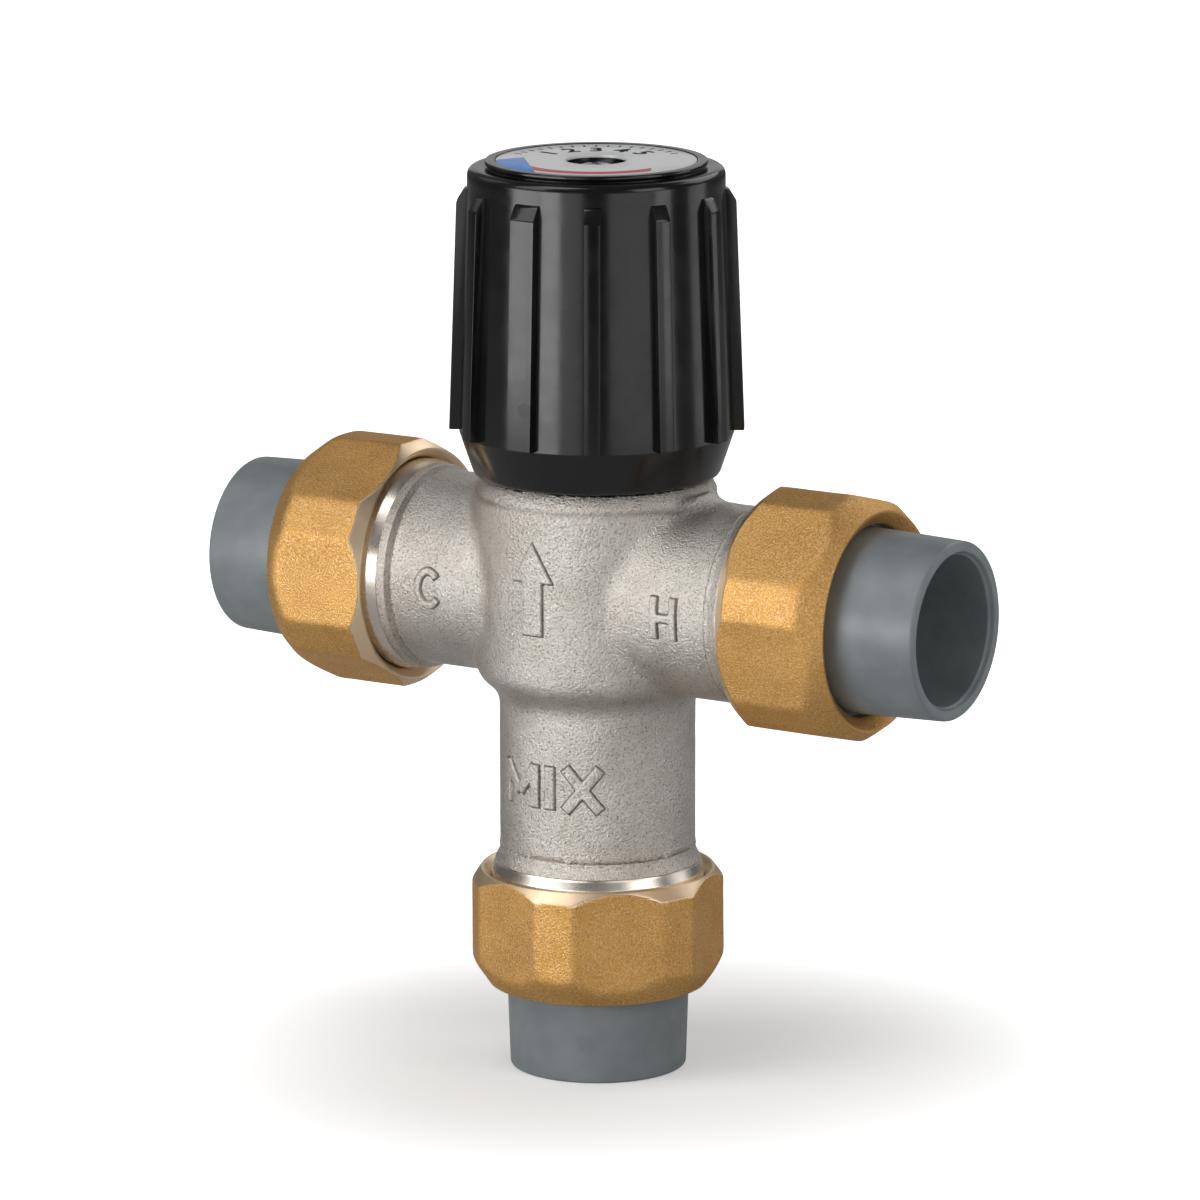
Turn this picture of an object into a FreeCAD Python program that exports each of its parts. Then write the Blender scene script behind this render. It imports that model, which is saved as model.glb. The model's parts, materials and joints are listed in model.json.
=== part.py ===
"""Thermostatic mixing valve with union ends, in millimetres.

Frame: the valve stands on the end of its mixed-water tailpiece.  The origin is the middle of
that end face, +Z points up the outlet and knob axis, -X is the cold inlet, +X is the hot inlet
and -Y is the side with the cast port letters.  Inner pieces are placed from the level of the
inlet axis, which is called the port axis below.
"""
import FreeCAD, Part
import math
import os

from FreeCAD import Vector

# ---------------------------------------------------------------------------
# Clearances
# ---------------------------------------------------------------------------
RUNNING = 0.08            # radial clearance of a turning or sliding fit
LOOSE = 0.30              # clearance where nothing guides
FACE_GAP = 0.10           # axial clearance between faces that turn on each other

# ---------------------------------------------------------------------------
# Unions: the same on all three ports, measured outwards from the nut's inner end
# ---------------------------------------------------------------------------
THREAD_RADIUS = 16.0      # plain cylinder in place of the union thread
NUT_LENGTH = 17.5
NUT_WALL = 1.75           # from the thread to the six wide faces
NUT_CORNER_WALL = 2.8     # from the thread to the six narrow faces that cut the corners
NUT_ACROSS_FLATS = 2 * (THREAD_RADIUS + NUT_WALL)
NUT_ACROSS_CORNERS = 2 * (THREAD_RADIUS + NUT_CORNER_WALL)
NUT_INNER_CHAMFER = 1.4   # radial
NUT_INNER_CHAMFER_LENGTH = 1.9
NUT_OUTER_CHAMFER = 2.6   # radial
NUT_OUTER_CHAMFER_LENGTH = 3.7
NUT_RIM = 0.45            # flat ring left at both ends
NUT_LIP = 3.2             # end wall that pulls on the tailpiece flange
NUT_MOUTH_DEPTH = 1.3     # countersinks at both ends
GASKET_THICKNESS = 2.0
FLANGE_THICKNESS = 3.0
THREAD_LENGTH = NUT_LENGTH - NUT_LIP - FLANGE_THICKNESS - GASKET_THICKNESS - FACE_GAP
THREAD_LEAD_CHAMFER = 0.9
TAIL_STICK_OUT = 12.9     # tailpiece beyond the nut
FLANGE_WIDTH = 2.3        # tailpiece flange, measured from the thread radius
TAIL_RADIUS = THREAD_RADIUS - FLANGE_WIDTH  # at the nut
TAIL_DRAFT = 0.44         # moulding draft from the nut to the end
TAIL_HOLE_CLEARANCE = 0.6
SOCKET_RADIUS = 11.15     # solvent-weld socket
SOCKET_DEPTH = 18.0
SOCKET_CHAMFER = 0.5
PORT_BORE = 9.5           # radius of the waterway through the unions

# ---------------------------------------------------------------------------
# Body casting
# ---------------------------------------------------------------------------
SIDE_REACH = 31.0         # port crossing to the inner end of the side nuts
MIX_REACH = 43.1          # port crossing to the inner end of the lower nut
NECK_STEP = 1.3           # neck under the thread
NECK_RADIUS = THREAD_RADIUS - NECK_STEP
LIP_RELIEF = 0.75         # raised band behind the thread, over the neck
LIP_RADIUS = NECK_RADIUS + LIP_RELIEF
LIP_BAND = 1.4            # length of the raised band
LIP_FLANK = 1.5           # length of the turned cone between band and nut
LIP_GROOVE = 0.35         # depth and half width of the fine groove
HUB_STEP = 3.45           # hub over the necks
HUB_RADIUS = NECK_RADIUS + HUB_STEP
HUB_BOTTOM = -11.2        # level where the hub starts to draw in
HUB_DRAW_IN = 1.855 * HUB_STEP  # height of the drawn-in part
HUB_TOP = 14.4            # level of the groove under the collar
COLLAR_HEIGHT = 2.6
COLLAR_CHAMFER = 1.25     # radial
COLLAR_LEDGE = 0.7        # flat ring on top of the collar
COLLAR_CUT_REACH = 0.5    # how far past the hub the turned cut goes into the blends
COLLAR_TOP = HUB_TOP + COLLAR_HEIGHT
COLLAR_TOP_RADIUS = HUB_RADIUS - COLLAR_CHAMFER
RIM_RADIUS = COLLAR_TOP_RADIUS - COLLAR_LEDGE  # turned rim that the knob covers
RIM_HEIGHT = 2.5
BODY_TOP = COLLAR_TOP + RIM_HEIGHT
BODY_BLEND = 3.2          # fillet between hub and side necks

# ---------------------------------------------------------------------------
# Waterways and seats, levels from the port axis
# ---------------------------------------------------------------------------
WEB_HALF = 2.4            # half thickness of the wall between hot and cold
RIM_WALL = 2.4
TOP_BORE = RIM_RADIUS - RIM_WALL  # bonnet thread
TOP_LEDGE = 0.6           # ledge under the bonnet
GALLERY_RADIUS = TOP_BORE - TOP_LEDGE
GALLERY_WALL = 2.8
WEB_BORE = 11.4
SEAT_LEVEL = 9.0          # hot seat at -SEAT_LEVEL, cold seat at +SEAT_LEVEL
SEAT_BORE = 9.6
PASSAGE_END = GALLERY_RADIUS + GALLERY_WALL  # where the side bores turn into the galleries
TOP_BORE_LEVEL = 9.9
REST_LEVEL = -26.0        # ledge under the spring rest
OUTLET_BORE = 8.8
SEAL_SECTION = 1.44       # shuttle seal ring

# ---------------------------------------------------------------------------
# Bonnet and plunger
# ---------------------------------------------------------------------------
BONNET_SEAT_CLEARANCE = 0.7
BONNET_SEAT_RADIUS = GALLERY_RADIUS - BONNET_SEAT_CLEARANCE
BONNET_SLEEVE_LEVEL = 10.2
BONNET_GROOVE_LEVEL = 11.2
BONNET_GROOVE_WIDTH = 1.8
BONNET_SEAL_SECTION = 1.6
BONNET_HEX = 2 * TOP_BORE - TOP_LEDGE  # across flats
BONNET_HEX_HEIGHT = 5.0
TOWER_RADIUS = 11.0
TOWER_TOP = 46.0
TOWER_ROOF = 6.0          # guides and seals the spindle
TOWER_CEILING = TOWER_TOP - TOWER_ROOF
GUIDE_HEX = 15.0          # across flats of the plunger guide
PLUNGER_BOTTOM = 10.0
PLUNGER_TOP = 32.0
PLUNGER_WEB_LEVEL = 19.5
PLUNGER_WEB = 1.5
PLUNGER_CAVITY = 5.8      # radius
PLUNGER_TRAVEL = 1.375    # up and down from the middle
CUP_RING_THICKNESS = 0.8
CUP_RING_BITE = 0.6       # how far the ring goes into the wall
CUP_FLANGE = 1.4
CUP_SPIGOT = 3.2          # radius
CUP_SPIGOT_HEIGHT = 2.8
OVERLOAD_WIRE = 1.2
OVERLOAD_TURNS = 4

# ---------------------------------------------------------------------------
# Thermostat and shuttle
# ---------------------------------------------------------------------------
SHUTTLE_WALL = 1.1
SHUTTLE_HALF = 6.5        # half its length
SHUTTLE_HUB = 7.9         # outer radius of the middle ring
SHUTTLE_HUB_BOTTOM = -1.5
SHUTTLE_SPOKES = 4
SPOKE_WIDTH = 2.0
ELEMENT_RADIUS = 5.0
ELEMENT_BOTTOM = -16.0
ELEMENT_FLANGE = 7.0      # radius
ELEMENT_FLANGE_LEVEL = 1.0
ELEMENT_FLANGE_THICKNESS = 2.2
ELEMENT_NOSE = 3.5        # radius
ELEMENT_NOSE_TOP = 8.0
ELEMENT_TRAVEL = 1.0      # of the shuttle against the pin, up and down
PIN_RADIUS = 1.9
PIN_BOTTOM = 4.0
RETURN_WIRE = 1.1
RETURN_TURNS = 7
RETURN_RADIUS = 6.9       # mean radius of the coil
REST_THICKNESS = 2.0
REST_SPOKES = 3

# ---------------------------------------------------------------------------
# Spindle
# ---------------------------------------------------------------------------
SPINDLE_RADIUS = 4.0
SPINDLE_THREAD = 5.0      # plain cylinder in place of the adjusting thread
SPINDLE_FLANGE = 7.2
SPINDLE_FLANGE_THICKNESS = 2.1
DRIVE_START = 3.0         # drive flats above the bonnet
SPINDLE_FLAT_LEVEL = TOWER_TOP + DRIVE_START
SPINDLE_FLAT = 3.2        # distance of the two drive flats from the axis
SPINDLE_SEAL_LEVEL = TOWER_TOP - TOWER_ROOF / 2
SPINDLE_SEAL_SECTION = 1.1
WASHER_THICKNESS = 0.7
CLIP_THICKNESS = 0.8
CLIP_GROOVE = 3.2         # radius
CLIP_RADIUS = 5.6

# ---------------------------------------------------------------------------
# Knob
# ---------------------------------------------------------------------------
KNOB_LIFT = 0.4           # gap between the collar and the knob
KNOB_BOTTOM = COLLAR_TOP + KNOB_LIFT
KNOB_SKIRT_HEIGHT = 6.2
KNOB_SKIRT_TOP = KNOB_BOTTOM + KNOB_SKIRT_HEIGHT
KNOB_MOUTH_CLEARANCE = 0.7
KNOB_MOUTH = RIM_RADIUS + KNOB_MOUTH_CLEARANCE  # radius of the open lower end
KNOB_SKIRT_WALL = 1.6
KNOB_SKIRT_RADIUS = KNOB_MOUTH + KNOB_SKIRT_WALL  # at the bottom
KNOB_SKIRT_FLARE = 2.0
KNOB_BELT_RADIUS = KNOB_SKIRT_RADIUS + KNOB_SKIRT_FLARE  # at the skirt's top
KNOB_TAPER = 1.35         # from the belt to the shoulder, radial
KNOB_SHOULDER = 60.5
KNOB_SHOULDER_RADIUS = KNOB_BELT_RADIUS - KNOB_TAPER
KNOB_SHOULDER_ROUND = 1.3
KNOB_CROWN = 4.0          # height of the top over the shoulder
KNOB_TOP = KNOB_SHOULDER + KNOB_CROWN
KNOB_SHELF = 2.6          # shoulder out from the rim
KNOB_RIM_RADIUS = KNOB_SHOULDER_RADIUS - KNOB_SHELF
KNOB_RIM_HEIGHT = 1.2
KNOB_UNDERCUT = 0.35      # neck under the rim
KNOB_NECK_RADIUS = KNOB_RIM_RADIUS - KNOB_UNDERCUT
KNOB_EDGE = 0.5           # small chamfers
KNOB_WALL = 1.9
KNOB_TOP_WALL = 2.2
KNOB_SOCKET_RADIUS = 6.5
RIB_COUNT = 12
RIB_WIDTH = 2.35
INDEX_RIB_WIDTH = 4.0
RIB_HEIGHT = 1.5
RIB_CAP = 2.3             # height of the rounded cap
RIB_TOP = KNOB_SHOULDER - RIB_CAP
RIB_EDGE = 0.35
INDEX_AZIMUTH = -90.0     # of the wide rib, from +X towards +Y
KNOB_RIM_WALL = 1.55
LABEL_RADIUS = KNOB_RIM_RADIUS - KNOB_RIM_WALL
LABEL_RECESS = 0.5
LABEL_THICKNESS = 0.4
LABEL_HOLE = 4.9
SCREW_WELL = 4.6          # radius of the hole over the screw
SCREW_WELL_DEPTH = 3.5
SCREW_WELL_FLOOR = KNOB_TOP - SCREW_WELL_DEPTH
SCREW_HEAD = 3.7          # radius
SCREW_HEAD_HEIGHT = 2.2
SCREW_SHANK = 2.0         # radius
SCREW_LENGTH = 11.0
SCREW_SLOT = 0.9
WELL_FLOOR_WALL = 2.1     # between the well and the spindle
SPINDLE_TOP = SCREW_WELL_FLOOR - WELL_FLOOR_WALL

# where each nut has stopped about its own axis, degrees
COLD_NUT_TURN = 30.7
HOT_NUT_TURN = 15.5
MIX_NUT_TURN = 11.2

PORT_AXIS = MIX_REACH + NUT_LENGTH + TAIL_STICK_OUT
OUT = "parts"


# ---------------------------------------------------------------------------
# Helpers
# ---------------------------------------------------------------------------
def turned(points, level=PORT_AXIS):
    """Solid of revolution about +Z from (radius, height) corners, heights from a level."""
    corners = [Vector(radius, 0, height + level) for radius, height in points]
    face = Part.Face(Part.makePolygon(corners + [corners[0]]))
    return face.revolve(Vector(0, 0, 0), Vector(0, 0, 1), 360)


def rod(radius, low, high, level=PORT_AXIS):
    """Upright cylinder between two heights above a level."""
    return Part.makeCylinder(radius, high - low, Vector(0, 0, level + low))


def tube(outer, inner, low, high, level=PORT_AXIS):
    """Upright ring between two heights above a level."""
    return rod(outer, low, high, level).cut(rod(inner, low, high, level))


def ring(mid_radius, section, height):
    """O-ring with its middle at a height above the port axis."""
    return Part.makeTorus(mid_radius, section / 2, Vector(0, 0, PORT_AXIS + height))


def hexagon(across_flats, low, high, turn=0.0, level=PORT_AXIS):
    """Upright hexagonal prism, with its first face normal turned from +X."""
    corner_radius = across_flats / 2 / math.cos(math.radians(30))
    corners = []
    for step in range(6):
        angle = math.radians(turn + 30 + 60 * step)
        x = corner_radius * math.cos(angle)
        y = corner_radius * math.sin(angle)
        corners.append(Vector(x, y, level + low))
    face = Part.Face(Part.makePolygon(corners + [corners[0]]))
    return face.extrude(Vector(0, 0, high - low))


def spring(mid_radius, wire, turns, low, high):
    """Compression spring, ground flat at both levels."""
    height = high - low
    path = Part.makeHelix(height / turns, height, mid_radius)
    path.translate(Vector(0, 0, PORT_AXIS + low))
    start = Vector(mid_radius, 0, PORT_AXIS + low)
    slope = Vector(0, 2 * math.pi * mid_radius, height / turns)
    section = Part.Wire(Part.makeCircle(wire / 2, start, slope))
    coil = Part.Wire(path).makePipeShell([section], True, True)
    return coil.common(tube(mid_radius + wire, mid_radius - wire, low, high))


def to_port(shape, port):
    """Turn a piece from the outlet, whose union starts at height 0 going down, to its port."""
    placed = shape.copy()
    if port == "mix":
        placed.translate(Vector(0, 0, PORT_AXIS - MIX_REACH))
        return placed
    side = -1 if port == "cold" else 1
    placed.rotate(Vector(0, 0, 0), Vector(0, 1, 0), -90 * side)
    placed.translate(Vector(side * SIDE_REACH, 0, PORT_AXIS))
    return placed


def save(node, shape):
    """Write one sub-part."""
    if not shape.isValid():
        raise ValueError(node + " is not a valid solid")
    shape.exportStep(os.path.join(OUT, node + ".step"))


# ---------------------------------------------------------------------------
# Unions, drawn hanging down from height 0 and then turned to their ports
# ---------------------------------------------------------------------------
def union_nut(turn):
    """Cast nut: a hexagon with cut corners, chamfered at both ends."""
    corner = math.hypot(NUT_ACROSS_FLATS, 2 * NUT_ACROSS_CORNERS
                        - NUT_ACROSS_FLATS * math.sqrt(3)) / 2
    inner_face = corner - NUT_INNER_CHAMFER
    outer_face = corner - NUT_OUTER_CHAMFER
    bore = THREAD_RADIUS + RUNNING
    hole = TAIL_RADIUS + TAIL_HOLE_CLEARANCE
    lip = NUT_LENGTH - NUT_LIP
    blank = turned([
        (hole, -lip), (bore, -lip), (bore, -NUT_MOUTH_DEPTH), (inner_face - NUT_RIM, 0),
        (inner_face, 0), (corner, -NUT_INNER_CHAMFER_LENGTH),
        (corner, -NUT_LENGTH + NUT_OUTER_CHAMFER_LENGTH), (outer_face, -NUT_LENGTH),
        (outer_face - NUT_RIM, -NUT_LENGTH), (hole, -NUT_LENGTH + NUT_MOUTH_DEPTH)], 0)
    faces = hexagon(NUT_ACROSS_FLATS, -NUT_LENGTH, 0, turn, 0)
    corners = hexagon(NUT_ACROSS_CORNERS, -NUT_LENGTH, 0, turn + 30, 0)
    return blank.common(faces).common(corners)


def gasket():
    """Flat washer between body and tailpiece."""
    outer = THREAD_RADIUS - LOOSE
    return tube(outer, PORT_BORE + 1.0, -THREAD_LENGTH - GASKET_THICKNESS, -THREAD_LENGTH, 0)


def tailpiece():
    """Plastic tailpiece: flange inside the nut, socket for the pipe outside it."""
    top = -THREAD_LENGTH - GASKET_THICKNESS
    flange_end = top - FLANGE_THICKNESS
    end = -NUT_LENGTH - TAIL_STICK_OUT
    socket_end = end + SOCKET_DEPTH
    return turned([
        (PORT_BORE, top), (THREAD_RADIUS - LOOSE, top), (THREAD_RADIUS - LOOSE, flange_end),
        (TAIL_RADIUS, flange_end), (TAIL_RADIUS, -NUT_LENGTH), (TAIL_RADIUS - TAIL_DRAFT, end),
        (SOCKET_RADIUS + SOCKET_CHAMFER, end), (SOCKET_RADIUS, end + SOCKET_CHAMFER),
        (SOCKET_RADIUS, socket_end), (PORT_BORE, socket_end)], 0)


def port_outside(neck_length):
    """Neck, raised band, turned cone and thread of one port."""
    band = LIP_FLANK + LIP_BAND
    return turned([
        (0, neck_length), (NECK_RADIUS, neck_length), (NECK_RADIUS, band + 2 * LIP_GROOVE),
        (NECK_RADIUS - LIP_GROOVE, band + LIP_GROOVE), (LIP_RADIUS, band),
        (LIP_RADIUS, LIP_FLANK), (THREAD_RADIUS, 0),
        (THREAD_RADIUS, -THREAD_LENGTH + THREAD_LEAD_CHAMFER),
        (THREAD_RADIUS - THREAD_LEAD_CHAMFER, -THREAD_LENGTH), (0, -THREAD_LENGTH)], 0)


# ---------------------------------------------------------------------------
# Body casting
# ---------------------------------------------------------------------------
def hub_barrel():
    """Round hub that draws in below, through two equal arcs, to the outlet neck."""
    step = HUB_RADIUS - NECK_RADIUS
    arc = (step ** 2 + HUB_DRAW_IN ** 2) / (4 * step)
    lean = math.asin(HUB_DRAW_IN / (2 * arc)) / 2
    low = HUB_BOTTOM - HUB_DRAW_IN
    top = BODY_TOP + BODY_BLEND

    def point(radius, height):
        return Vector(radius, 0, PORT_AXIS + height)

    middle = point((HUB_RADIUS + NECK_RADIUS) / 2, HUB_BOTTOM - HUB_DRAW_IN / 2)
    crown = point(HUB_RADIUS - arc + arc * math.cos(lean), HUB_BOTTOM - arc * math.sin(lean))
    root = point(NECK_RADIUS + arc - arc * math.cos(lean), low + arc * math.sin(lean))
    shoulder = point(HUB_RADIUS, HUB_BOTTOM)
    waist = point(NECK_RADIUS, low)
    outline = Part.Wire([
        Part.makeLine(point(0, low), waist),
        Part.Arc(waist, root, middle).toShape(),
        Part.Arc(middle, crown, shoulder).toShape(),
        Part.makeLine(shoulder, point(HUB_RADIUS, top)),
        Part.makeLine(point(HUB_RADIUS, top), point(0, top)),
        Part.makeLine(point(0, top), point(0, low))])
    return Part.Face(outline).revolve(Vector(0, 0, 0), Vector(0, 0, 1), 360)


def collar_cutter():
    """What the lathe takes off round the top of the hub: collar cone, fine groove and rim."""
    clear = HUB_RADIUS + COLLAR_CUT_REACH
    groove = LIP_GROOVE
    return turned([
        (clear, HUB_TOP), (HUB_RADIUS - groove, HUB_TOP), (HUB_RADIUS, HUB_TOP + groove),
        (COLLAR_TOP_RADIUS, COLLAR_TOP), (RIM_RADIUS, COLLAR_TOP),
        (RIM_RADIUS, BODY_TOP - KNOB_EDGE), (RIM_RADIUS - KNOB_EDGE, BODY_TOP), (0, BODY_TOP),
        (0, BODY_TOP + 2 * BODY_BLEND), (clear, BODY_TOP + 2 * BODY_BLEND)])


def waterway():
    """Bore of the hub and the outlet, with the galleries, the web and the two ledges."""
    end = -MIX_REACH - THREAD_LENGTH
    seal = SEAL_SECTION / 2 + RUNNING
    groove = WEB_BORE + SEAL_SECTION + RUNNING
    return turned([
        (0, end), (PORT_BORE, end), (PORT_BORE, end + THREAD_LENGTH),
        (OUTLET_BORE, end + THREAD_LENGTH + PORT_BORE - OUTLET_BORE), (OUTLET_BORE, REST_LEVEL),
        (SEAT_BORE, REST_LEVEL), (SEAT_BORE, -SEAT_LEVEL), (GALLERY_RADIUS, -SEAT_LEVEL),
        (GALLERY_RADIUS, -WEB_HALF), (WEB_BORE, -WEB_HALF), (WEB_BORE, -seal), (groove, -seal),
        (groove, seal), (WEB_BORE, seal), (WEB_BORE, WEB_HALF), (GALLERY_RADIUS, WEB_HALF),
        (GALLERY_RADIUS, TOP_BORE_LEVEL), (TOP_BORE, TOP_BORE_LEVEL), (TOP_BORE, BODY_TOP),
        (0, BODY_TOP)])


def inlet_way(port):
    """Side bore that opens into the upper gallery (cold) or the lower one (hot)."""
    bore = to_port(rod(PORT_BORE, -THREAD_LENGTH, SIDE_REACH - PASSAGE_END, 0), port)
    reach = to_port(rod(PORT_BORE, 0, SIDE_REACH - PORT_BORE, 0), port)
    width = 2 * PORT_BORE
    depth = SEAT_LEVEL - WEB_HALF
    low = WEB_HALF if port == "cold" else -SEAT_LEVEL
    corner = Vector(-SIDE_REACH, -width / 2, PORT_AXIS + low)
    gate = Part.makeBox(2 * SIDE_REACH, width, depth, corner)
    return bore.fuse(reach.common(gate))


def valve_body():
    """Casting with its machined ends and waterways."""
    sides = [to_port(port_outside(SIDE_REACH), port) for port in ("cold", "hot")]
    rough = hub_barrel().fuse(sides)
    seams = [edge for edge in rough.Edges if is_hub_seam(edge)]
    rough = rough.makeFillet(BODY_BLEND, seams)
    rough = rough.fuse(to_port(port_outside(MIX_REACH + HUB_BOTTOM), "mix"))
    body = rough.cut([collar_cutter(), waterway(), inlet_way("cold"), inlet_way("hot")])
    return body.removeSplitter()


def is_hub_seam(edge):
    """True for the curves where a side neck runs into the hub."""
    middle = edge.valueAt((edge.FirstParameter + edge.LastParameter) / 2)
    off_axis = math.hypot(middle.y, middle.z - PORT_AXIS)
    on_neck = abs(off_axis - NECK_RADIUS) < 0.01
    on_hub = math.hypot(middle.x, middle.y) < HUB_RADIUS + 0.01
    return on_neck and on_hub


# ---------------------------------------------------------------------------
# Bonnet and what turns in it
# ---------------------------------------------------------------------------
def bonnet():
    """Cover screwed into the hub, with the cold seat below and the plunger guide inside."""
    sleeve = TOP_BORE - RUNNING
    groove = TOP_BORE - BONNET_SEAL_SECTION - RUNNING
    groove_top = BONNET_GROOVE_LEVEL + BONNET_GROOVE_WIDTH
    hex_top = BODY_TOP + BONNET_HEX_HEIGHT
    outside = turned([
        (0, SEAT_LEVEL), (BONNET_SEAT_RADIUS, SEAT_LEVEL),
        (BONNET_SEAT_RADIUS, BONNET_SLEEVE_LEVEL), (sleeve, BONNET_SLEEVE_LEVEL),
        (sleeve, BONNET_GROOVE_LEVEL), (groove, BONNET_GROOVE_LEVEL), (groove, groove_top),
        (sleeve, groove_top), (sleeve, BODY_TOP), (TOWER_RADIUS, BODY_TOP),
        (TOWER_RADIUS, TOWER_TOP - KNOB_EDGE), (TOWER_RADIUS - KNOB_EDGE, TOWER_TOP),
        (0, TOWER_TOP)])
    corner = BONNET_HEX / math.sqrt(3)
    flange = hexagon(BONNET_HEX, BODY_TOP, hex_top)
    crown = turned([(0, BODY_TOP), (corner, BODY_TOP), (corner, hex_top - KNOB_EDGE),
                    (BONNET_HEX / 2, hex_top), (0, hex_top)])
    solid = outside.fuse(flange.common(crown))
    guide = hexagon(GUIDE_HEX, SEAT_LEVEL, TOWER_CEILING)
    bore = rod(SPINDLE_RADIUS + RUNNING, TOWER_CEILING, TOWER_TOP)
    return solid.cut([guide, bore]).removeSplitter()


def bonnet_o_ring():
    """Seal between bonnet and hub."""
    middle = BONNET_GROOVE_LEVEL + BONNET_GROOVE_WIDTH / 2
    return ring(TOP_BORE - BONNET_SEAL_SECTION / 2 - RUNNING / 2, BONNET_SEAL_SECTION, middle)


def spindle_flange_top():
    """Level of the upper face of the spindle's flange."""
    return TOWER_CEILING - FACE_GAP - WASHER_THICKNESS


def drive_section(radius, flat, low, high):
    """Round bar with two flats."""
    bar = rod(radius, low, high)
    slab = Part.makeBox(2 * radius, 2 * flat, high - low, Vector(-radius, -flat, PORT_AXIS + low))
    return bar.common(slab)


def spindle():
    """Turned by the knob; its flange holds it down, its thread moves the plunger."""
    flange_top = spindle_flange_top()
    flange_low = flange_top - SPINDLE_FLANGE_THICKNESS
    thread_low = PLUNGER_WEB_LEVEL + PLUNGER_WEB + PLUNGER_TRAVEL + LOOSE
    seal_half = SPINDLE_SEAL_SECTION / 2 + RUNNING
    seal_floor = SPINDLE_RADIUS - SPINDLE_SEAL_SECTION
    clip_low = TOWER_TOP + FACE_GAP
    clip_high = clip_low + CLIP_THICKNESS
    bar = turned([
        (0, thread_low), (SPINDLE_THREAD - KNOB_EDGE, thread_low),
        (SPINDLE_THREAD, thread_low + KNOB_EDGE), (SPINDLE_THREAD, flange_low),
        (SPINDLE_FLANGE, flange_low), (SPINDLE_FLANGE, flange_top),
        (SPINDLE_RADIUS, flange_top), (SPINDLE_RADIUS, SPINDLE_SEAL_LEVEL - seal_half),
        (seal_floor, SPINDLE_SEAL_LEVEL - seal_half), (seal_floor, SPINDLE_SEAL_LEVEL + seal_half),
        (SPINDLE_RADIUS, SPINDLE_SEAL_LEVEL + seal_half), (SPINDLE_RADIUS, clip_low),
        (CLIP_GROOVE, clip_low), (CLIP_GROOVE, clip_high), (SPINDLE_RADIUS, clip_high),
        (SPINDLE_RADIUS, SPINDLE_FLAT_LEVEL), (0, SPINDLE_FLAT_LEVEL)])
    drive = drive_section(SPINDLE_RADIUS, SPINDLE_FLAT, SPINDLE_FLAT_LEVEL, SPINDLE_TOP)
    hole = rod(SCREW_SHANK + RUNNING, SCREW_WELL_FLOOR - SCREW_LENGTH - LOOSE, SPINDLE_TOP)
    return bar.fuse(drive).cut(hole).removeSplitter()


def spindle_o_ring():
    """Seal in the spindle's groove."""
    return ring(SPINDLE_RADIUS - SPINDLE_SEAL_SECTION / 2, SPINDLE_SEAL_SECTION,
                SPINDLE_SEAL_LEVEL)


def spindle_washer():
    """Slip washer between the spindle's flange and the bonnet."""
    low = spindle_flange_top()
    return tube(SPINDLE_FLANGE, SPINDLE_RADIUS + RUNNING, low, low + WASHER_THICKNESS)


def spindle_clip():
    """Open ring clip above the bonnet."""
    low = TOWER_TOP + FACE_GAP
    clip = tube(CLIP_RADIUS, CLIP_GROOVE, low, low + CLIP_THICKNESS)
    mouth = Part.makeBox(CLIP_RADIUS, 2 * SPINDLE_FLAT, CLIP_THICKNESS,
                         Vector(0, -SPINDLE_FLAT, PORT_AXIS + low))
    return clip.cut(mouth)


def plunger():
    """Hexagonal nut that slides in the bonnet and pushes on the thermostat."""
    across = GUIDE_HEX - 2 * RUNNING
    ring_low, ring_high = cup_ring_levels()
    block = hexagon(across, PLUNGER_BOTTOM, PLUNGER_TOP)
    cavity = rod(PLUNGER_CAVITY, PLUNGER_BOTTOM, PLUNGER_WEB_LEVEL)
    groove = rod(PLUNGER_CAVITY + CUP_RING_BITE + RUNNING, ring_low, ring_high)
    thread = rod(SPINDLE_THREAD + RUNNING, PLUNGER_WEB_LEVEL + PLUNGER_WEB, PLUNGER_TOP)
    return block.cut([cavity, groove, thread])


def cup_ring_levels():
    """Lower and upper faces of the ring that keeps the cup in the plunger."""
    low = PLUNGER_BOTTOM + KNOB_EDGE
    return low, low + CUP_RING_THICKNESS


def cup_ring():
    """Snap ring under the spring cup."""
    low, high = cup_ring_levels()
    outer = PLUNGER_CAVITY + CUP_RING_BITE
    return tube(outer, PLUNGER_CAVITY - 2 * CUP_RING_BITE, low, high)


def spring_cup():
    """Hat-shaped cup between the element's pin and the overload spring."""
    low = cup_ring_levels()[1]
    flange = PLUNGER_CAVITY - LOOSE
    pocket = PIN_RADIUS + RUNNING
    shelf = low + CUP_FLANGE
    top = shelf + CUP_SPIGOT_HEIGHT
    return turned([(pocket, low), (flange, low), (flange, shelf), (CUP_SPIGOT, shelf),
                   (CUP_SPIGOT, top), (0, top), (0, cup_pocket_top()), (pocket, cup_pocket_top())])


def cup_pocket_top():
    """Level where the pin meets the cup."""
    return cup_ring_levels()[1] + CUP_FLANGE + CUP_SPIGOT_HEIGHT / 2


def overload_spring():
    """Stiff spring that yields when the element has no travel left."""
    mid_radius = CUP_SPIGOT + LOOSE + OVERLOAD_WIRE / 2
    low = cup_ring_levels()[1] + CUP_FLANGE
    return spring(mid_radius, OVERLOAD_WIRE, OVERLOAD_TURNS, low, PLUNGER_WEB_LEVEL)


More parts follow.
